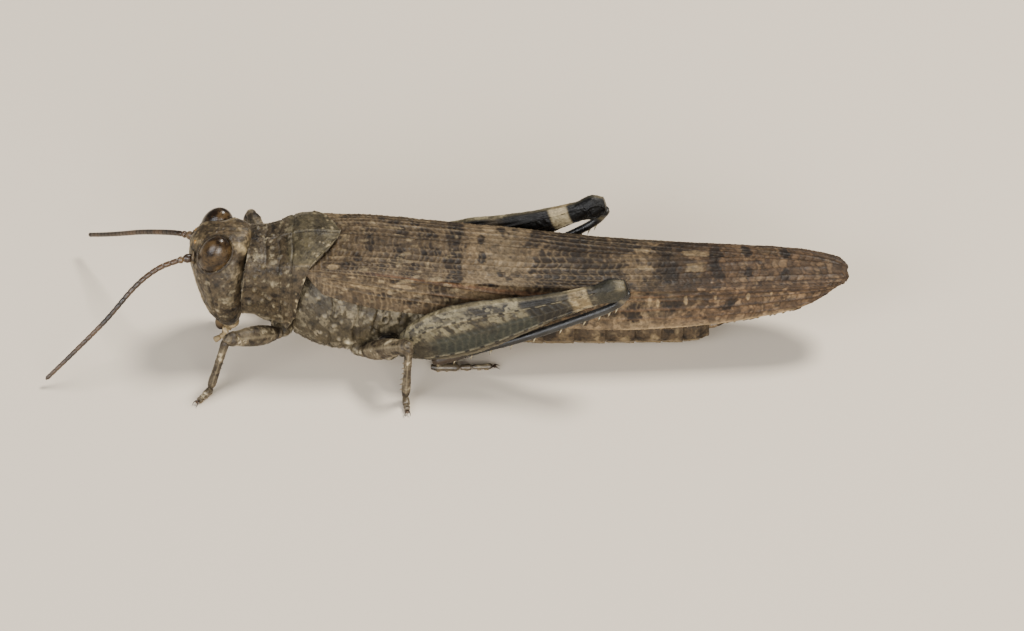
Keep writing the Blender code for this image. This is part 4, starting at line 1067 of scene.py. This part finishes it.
def leg_paint(P, along=None):
    """Pale grey-brown with dark spots, banded along the leg where shares along it are given."""
    C = mottle(P, srgb(46, 37, 26), srgb(104, 94, 77), srgb(168, 157, 133), 0.38, 101)
    if along is not None:
        band = ramp(np.sin(along * 13.0 + 1.2) + 0.6 * fbm(P, 0.5, 102), 0.25, 0.75)
        C = mix(C, srgb(50, 40, 29), 0.60 * band)
    return peppered(P, mix(C, INK, 0.75 * granules(P, 0.16, 103, 0.22)), 0.13, 0.30)


def shaft(build, a, b, radii, side, paint, flat=1.0, bow=0.0, ridge=0.03, rows=110, around=44):
    """Leg segment from a to b: radii as (share, half width) pairs, with four low ridges and fine grains."""
    a, b = np.asarray(a, float), np.asarray(b, float)
    t = np.linspace(0, 1, rows)
    k = np.array(radii)
    r = catmull(k, 400)
    r = np.interp(t, r[:, 0], r[:, 1])
    d = (b - a) / np.linalg.norm(b - a)
    s = np.asarray(side, float) - d * np.dot(side, d)
    s /= np.linalg.norm(s)
    path = a + (b - a) * t[:, None] + np.cross(d, s) * (bow * np.sin(pi * t))[:, None]
    P = tube(path, r, r * flat, side, around)
    N = P - path[:, None]
    N /= np.linalg.norm(N, axis=-1, keepdims=True)
    angle = 2 * pi * np.arange(around) / around
    rib = bump((angle - pi / 4) % (pi / 2) - pi / 4 + 0 * t[:, None], 0, 0.16) * ramp(np.sin(pi * t), 0.1, 0.4)[:, None]
    rib = np.maximum(rib, 0)
    h = ridge * rib + 0.020 * granules(P, 0.15, 105, 0.7) + 0.012 * fbm(P, 0.4, 106)
    along = np.broadcast_to(t[:, None], P.shape[:2])
    C = paint(P, along)
    C = mix(C, srgb(176, 164, 138), 0.30 * rib)
    build.tube(P + N * h[..., None], C)


def spine_row(build, a, b, side, count, length, lean, colour, tip_colour, radius=0.055):
    """Row of spines along a stretch, pointing sideways and leaning towards its end."""
    a, b, side = (np.asarray(v, float) for v in (a, b, side))
    d = (b - a) / np.linalg.norm(b - a)
    for k in range(count):
        root = a + (b - a) * ((k + 0.5) / count)
        cone(build, root, root + (side + d * lean) / np.hypot(1, lean) * length * (0.85 + 0.3 * RNG.random()),
             radius, colour, tip_colour, 8)


def claws(build, tip, d, s, size, up=0.10):
    """Two curved claws and the pad between them."""
    tip = np.asarray(tip, float)
    for turn in (-1, 1):
        path = catmull([tip, tip + d * 0.22 * size + s * 0.16 * turn * size + [0, 0, up * 0.6],
                        tip + d * 0.48 * size + s * 0.22 * turn * size + [0, 0, -0.02],
                        tip + d * 0.60 * size + s * 0.20 * turn * size + [0, 0, -0.15 * size]], 16)
        path[:, 2] = np.maximum(path[:, 2], 0.03)
        r = np.linspace(0.075, 0.012, 16) * size
        P = tube(path, r, r, (0, 0, 1), 10)
        build.tube(P, srgb(50, 32, 20))
    ball(build, tip + d * 0.18 * size + np.array([0, 0, 0.0]), np.array([0.17, 0.15, 0.10]) * size, 0.0,
         srgb(92, 74, 54), 14, 18)


def build_foot(build, ankle, tip, half_w, paint):
    """Three tarsal segments with pads below, then the claws."""
    ankle, tip = np.asarray(ankle, float), np.asarray(tip, float)
    d = (tip - ankle) * [1, 1, 0]
    reach = np.linalg.norm(d)
    d /= reach
    s = np.array([-d[1], d[0], 0.0])
    start = np.array([ankle[0], ankle[1], 0.0])
    claw = 0.42
    knots = ((-0.04, 0.34), (0.40, 0.24), (0.58, 0.23), (1 - claw / reach, 0.26))
    for k, (a, b) in enumerate(zip(knots, knots[1:])):
        p = start + d * (a[0] * reach + 0.02) + [0, 0, a[1]]
        q = start + d * (b[0] * reach - 0.02) + [0, 0, b[1]]
        t = np.linspace(0, 1, 30)
        wide = np.array([0.72, 0.62, 0.54])[k] * half_w * np.interp(t, [0, 0.12, 0.7, 0.9, 1], [0.6, 0.9, 1.0, 1.0, 0.6])
        path = p + (q - p) * t[:, None]
        high = np.minimum(wide * 0.95, path[:, 2] - 0.03)
        P = tube(path, wide, high, s, 26)
        build.tube(P, paint(P))
        for share in ((0.25, 0.55, 0.85), (0.60,), (0.35, 0.7))[k]:
            c = p + (q - p) * share
            c[2] = 0.075
            ball(build, c, np.array([0.16, 0.16, 0.075]) * (half_w / 0.32), 0.0, srgb(128, 112, 86), 12, 18)
    claws(build, start + d * (reach - claw) + np.array([0, 0, 0.20]), d, s, 0.72)


def build_walking_leg(name, side):
    hip, knee, ankle, tip = (np.array(p) for p in LEGS[name])
    out = (knee - hip) / np.linalg.norm(knee - hip)
    b = Build()
    inner = hip + np.array([0.0, -1.15 * side, 0.10])
    t = np.linspace(0, 1, 50)
    path = catmull([inner, hip + [0.0, -0.42 * side, 0.05], hip + out * 0.26], 50)
    r = np.interp(t, [0, 0.45, 0.8, 1.0], [0.74, 0.70, 0.50, 0.30])
    P = tube(path, r, r * 0.84, (1, 0, 0), 48)
    P = P + 0.04 * fbm(P, 0.4, 107)[..., None] * out
    b.tube(P, skin(P))
    ball(b, hip + out * 0.36, np.array([0.36, 0.34, 0.34]), 0.0, leg_paint, 26, 32)
    b.piece("hip_" + name, CUTICLE, "leg", ["coxa_" + name])
    b = Build()
    shaft(b, hip + out * 0.42, hip + (knee - hip) * 0.985, [(0, 0.27), (0.10, 0.42), (0.32, 0.56), (0.6, 0.52), (0.82, 0.40), (0.92, 0.42), (1, 0.26)],
          (1, 0, 0), leg_paint, 1.06, 0.0, 0.035, 150, 56)
    ball(b, knee - out * 0.12, np.array([0.33, 0.30, 0.33]), 0.0, leg_paint, 24, 30)
    b.piece("thigh_" + name, CUTICLE, "leg", ["femur_" + name])
    b = Build()
    down = (ankle - knee) / np.linalg.norm(ankle - knee)
    shaft(b, knee + down * 0.10, ankle + [0, 0, -0.34], [(0, 0.20), (0.06, 0.27), (0.2, 0.23), (0.6, 0.22), (0.9, 0.25), (1, 0.18)],
          (1, 0, 0), leg_paint, 1.0, 0.0, 0.02, 130, 32)
    back = np.cross(down, [0, 1, 0])
    back = back / np.linalg.norm(back)
    for row in (-0.5, 0.5):
        aim = -out * 0.75 + np.array([row * 0.9, 0, 0])
        aim = aim - down * np.dot(aim, down)
        aim /= np.linalg.norm(aim)
        spine_row(b, knee + down * 1.1 + aim * 0.14, ankle + aim * 0.14, aim, 6, 0.34, 0.75, srgb(150, 134, 104), srgb(28, 20, 14))
    b.piece("shin_" + name, CUTICLE, "leg", ["tibia_" + name])
    b = Build()
    build_foot(b, ankle, tip, 0.32, leg_paint)
    b.piece("foot_" + name, GLOSSY, "leg", ["tarsus_" + name])


def hind_femur_paint(P, t, q, outer):
    """Bands and herringbone of the jumping leg: q is the share across from the lower edge (-1) to the upper one."""
    C = mottle(P, srgb(52, 46, 35), srgb(88, 81, 66), srgb(124, 116, 97), 0.50, 111)
    blotch = ramp(fbm(P, 0.46, 112, 4), 0.02, 0.24)
    star = ramp(fbm(P, 0.30, 122, 4), 0.0, 0.25)
    C = mix(C, srgb(176, 166, 136), 0.80 * np.maximum(blotch * 0.6, star) * ramp(q, 0.0, 0.35) * ramp(0.62 - t, 0, 0.08))
    slate = srgb(66, 72, 64)
    C = mix(C, slate, 0.85 * ramp(0.50 - np.abs(q + 0.25), 0, 0.2) * ramp(t, 0.12, 0.2) * ramp(0.66 - t, 0, 0.08))
    C = mix(C, srgb(150, 140, 116), 0.60 * ramp(-q, 0.72, 0.88) * ramp(fbm(P, 0.4, 113), -0.25, 0.1))
    C = mix(C, srgb(36, 31, 24), 0.95 * ramp(0.085 - np.abs(t - 0.670 + 0.04 * q), 0, 0.03))
    C = mix(C, srgb(58, 49, 38), 0.55 * bump(t, 0.40 - 0.05 * q, 0.045) * ramp(q, -0.4, 0.2))
    ring = ramp(0.048 - np.abs(t - 0.805), 0, 0.018)
    C = mix(C, mix(srgb(150, 132, 100), srgb(190, 172, 136), ramp(fbm(P, 0.3, 114), -0.3, 0.4)), 0.9 * ring)
    C = mix(C, srgb(70, 68, 56), 0.8 * ramp(t, 0.865, 0.885))
    C = mix(C, srgb(160, 148, 120), 0.8 * bump(t, 0.985, 0.02) * ramp(q, 0.0, 0.4))
    black = srgb(20, 16, 14)
    inner = (1 - outer)
    inside = mix(np.broadcast_to(black, P.shape), srgb(196, 182, 150), ramp(0.05 - np.abs(t - 0.79), 0, 0.015))
    inside = mix(inside, srgb(120, 108, 88), bump(t, 0.50, 0.035) * 0.8)
    inside = mix(inside, srgb(124, 126, 124), 0.7 * ramp(-q, 0.80, 0.92) * ramp(0.72 - t, 0, 0.1))
    C = mix(C, inside, inner)
    return C * 0.60


def build_hind_leg(name, side):
    hip, knee, ankle, tip = (np.array(p) for p in LEGS[name])
    b = Build()
    path = catmull([hip + [-0.65, -1.9 * side, -0.25], hip + [-0.60, -0.80 * side, -0.48], hip + [-0.42, -0.15 * side, -0.20]], 60)
    r = np.interp(np.linspace(0, 1, 60), [0, 0.5, 0.85, 1], [0.98, 0.90, 0.62, 0.38])
    P = tube(path, r, r, (1, 0, 0), 60)
    P = P + (0.05 * fbm(P, 0.5, 108) + 0.03 * granules(P, 0.2, 109))[..., None] * np.array([0, side, 0])
    b.tube(P, skin(P))
    b.piece("hip_" + name, CUTICLE, "leg", ["coxa_" + name])
    axis = knee - hip
    up = np.array([-axis[2], 0, axis[0]]) / np.hypot(axis[0], axis[2])
    rows = catmull(HIND_FEMUR_PROFILE, 340)
    t, depth, thick, lift = rows.T
    path = hip + axis * t[:, None] + up * lift[:, None]
    around = 170
    P = tube(path, thick, depth, (0, 1, 0), around, 2.3)
    a = 2 * pi * np.arange(around) / around
    wide, high = np.cos(a), np.sin(a)
    d, s, u = frames_along(path, (0, 1, 0))
    N = s[:, None] * (wide / 0.6)[:, None] + u[:, None] * high[:, None]
    N /= np.linalg.norm(N, axis=-1, keepdims=True)
    q = high + 0 * t[:, None]
    if np.dot(u[len(u) // 2], up) < 0:
        q = -q
    T = np.broadcast_to(t[:, None], q.shape)
    outer = ramp(wide * side, -0.25, 0.05) + 0 * q
    flank = ramp(np.abs(wide), 0.45, 0.70) * ramp(T, 0.10, 0.18) * ramp(0.84 - T, 0, 0.1)
    keels = sum(bump(q, k, 0.045) for k in (0.62, -0.62)) * ramp(T, 0.05, 0.12) * ramp(0.9 - T, 0, 0.05)
    edge = (bump(q, 0.985, 0.03) + bump(q, -0.985, 0.03)) * ramp(T, 0.05, 0.1) * ramp(0.88 - T, 0, 0.03)
    chevron = T * np.linalg.norm(axis) / 0.46 + 1.15 * np.abs(q) + 0.30 * fbm(P, 0.8, 118)
    herring = np.abs((chevron % 1) - 0.5) * 2
    bone = bump(herring, 1.0, 0.30) * flank * ramp(0.60 - np.abs(q), 0, 0.05)
    mid = bump(q, 0.0, 0.035) * flank
    lobe = bump(T, 0.945, 0.035)
    crescent = bump(np.hypot((T - 0.955) * 13, q + 0.05), 0.55, 0.10) * (T > 0.90)
    grain = granules(P, 0.17, 115, 0.7)
    h = (0.035 * bone + 0.03 * mid + 0.085 * keels + 0.09 * edge + 0.06 * crescent + 0.020 * grain
         + 0.03 * fbm(P, 0.7, 116) * (1 - flank) - 0.05 * flank)
    C = hind_femur_paint(P, T, q, outer)
    C = mix(C, srgb(130, 122, 100), 0.14 * (bone + mid).clip(0, 1) * outer)
    C = mix(C, srgb(46, 42, 34), 0.10 * flank * (1 - bone) * outer)
    spots_on_keel = ramp(np.sin(T * 95), 0.4, 0.8) * (keels > 0.3)
    C = mix(C, srgb(160, 150, 124), 0.45 * (keels * (1 - spots_on_keel) + 0.6 * edge).clip(0, 1) * outer)
    C = mix(C, INK, 0.75 * spots_on_keel)
    C = mix(C, INK, 0.6 * granules(P, 0.15, 117, 0.16) * outer)
    C = peppered(P, C, 0.14, 0.28)
    b = Build()
    b.tube(P + N * h[..., None], C)
    b.piece("jumping_thigh_" + name, CUTICLE, "hind_femur", ["femur_" + name])
    b = Build()
    top = knee + HIND_KNEE_JOINT
    middle = 0.5 * (top + ankle) + HIND_TIBIA_SAG
    path = catmull([knee + [-0.10, 0, -0.35], knee + [-0.15, 0, -0.85], top + [-0.35, 0, -0.05], top + (middle - top) * 0.35, middle,
                    middle + (ankle - middle) * 0.55, ankle + [0.05, 0, -0.05]], 300)
    u = np.linspace(0, 1, 300)
    r = np.interp(u, [0, 0.03, 0.10, 0.16, 0.3, 0.75, 0.93, 0.98, 1], [0.24, 0.36, 0.40, 0.30, 0.26, 0.26, 0.34, 0.34, 0.2])
    P = tube(path, r * 0.92, r, (0, 1, 0), 40)
    rough = 0.014 * granules(P, 0.16, 118) + 0.010 * fbm(P, 0.5, 119)
    P = P + rough[..., None] * np.array([0, side, 0])
    U = np.broadcast_to(u[:, None], P.shape[:2])
    blue = mix(srgb(38, 37, 36), srgb(62, 62, 60), ramp(fbm(P, 0.8, 120), -0.4, 0.5))
    C = mix(blue, srgb(148, 136, 110), 0.75 * bump(U, 0.20, 0.045))
    C = mix(C, srgb(30, 26, 24), 0.7 * bump(U, 0.10, 0.05) + 0.5 * bump(U, 0.30, 0.05))
    C = mix(C, srgb(104, 84, 62), 0.6 * ramp(U, 0.80, 0.95))
    b.tube(P, C * 0.66)
    along = path[[90, 285]]
    d = (along[1] - along[0]) / np.linalg.norm(along[1] - along[0])
    below = np.cross(d, [0, 1, 0])
    below = below * (-1 if below[2] > 0 else 1) / np.linalg.norm(below)
    for turn in (-1, 1):
        aim = below * 0.75 + np.array([0, 0.66 * turn, 0])
        for k in range(10):
            root = path[92 + 20 * k] + aim * 0.20
            cone(b, root, root + aim * 0.30 + d * 0.30, 0.065, srgb(158, 146, 118), srgb(20, 14, 10), 8)
        for drop in (0.2, 0.8):
            root = path[290] + np.array([0, 0.20 * turn, -0.04])
            cone(b, root, root + np.array([0.05, 0.16 * turn, 0]) + d * 0.42 + below * 0.26 * drop, 0.06, srgb(150, 136, 108), srgb(20, 14, 10), 8)
    b.piece("spined_shin_" + name, GLOSSY, "hind_tibia", ["tibia_" + name])
    b = Build()
    build_foot(b, ankle + [0.05, 0, 0], tip, 0.34, lambda p: mottle(p, srgb(60, 52, 42), srgb(100, 90, 74), srgb(140, 128, 104), 0.4, 121))
    b.piece("foot_" + name, GLOSSY, "hind_tibia", ["tarsus_" + name])


# ---------------------------------------------------------------- everything
CUTICLE = cuticle("cuticle", rough=0.50, rough_spread=0.12, fine=0.16, fine_scale=9000.0, relief=0.45, specular=0.30)
GLOSSY = cuticle("smooth_cuticle", rough=0.36, rough_spread=0.10, fine=0.10, fine_scale=9000.0, relief=0.25, specular=0.5)
WING = cuticle("wing_membrane", rough=0.58, rough_spread=0.10, fine=0.20, fine_scale=9000.0, relief=0.30, specular=0.25)
EYE = eye_material()

build_head()
build_eyes()
build_mouth()
build_antennae()
build_pronotum()
build_trunk()
build_abdomen()
for side_word, side_sign in (("left", -1), ("right", 1)):
    build_wing(side_word, side_sign, 200 if side_sign < 0 else 300)
    build_hind_wing(side_word, side_sign)
    for leg in ("fore_", "mid_"):
        build_walking_leg(leg + side_word, side_sign)
    build_hind_leg("hind_" + side_word, side_sign)
make_camera()
make_studio()
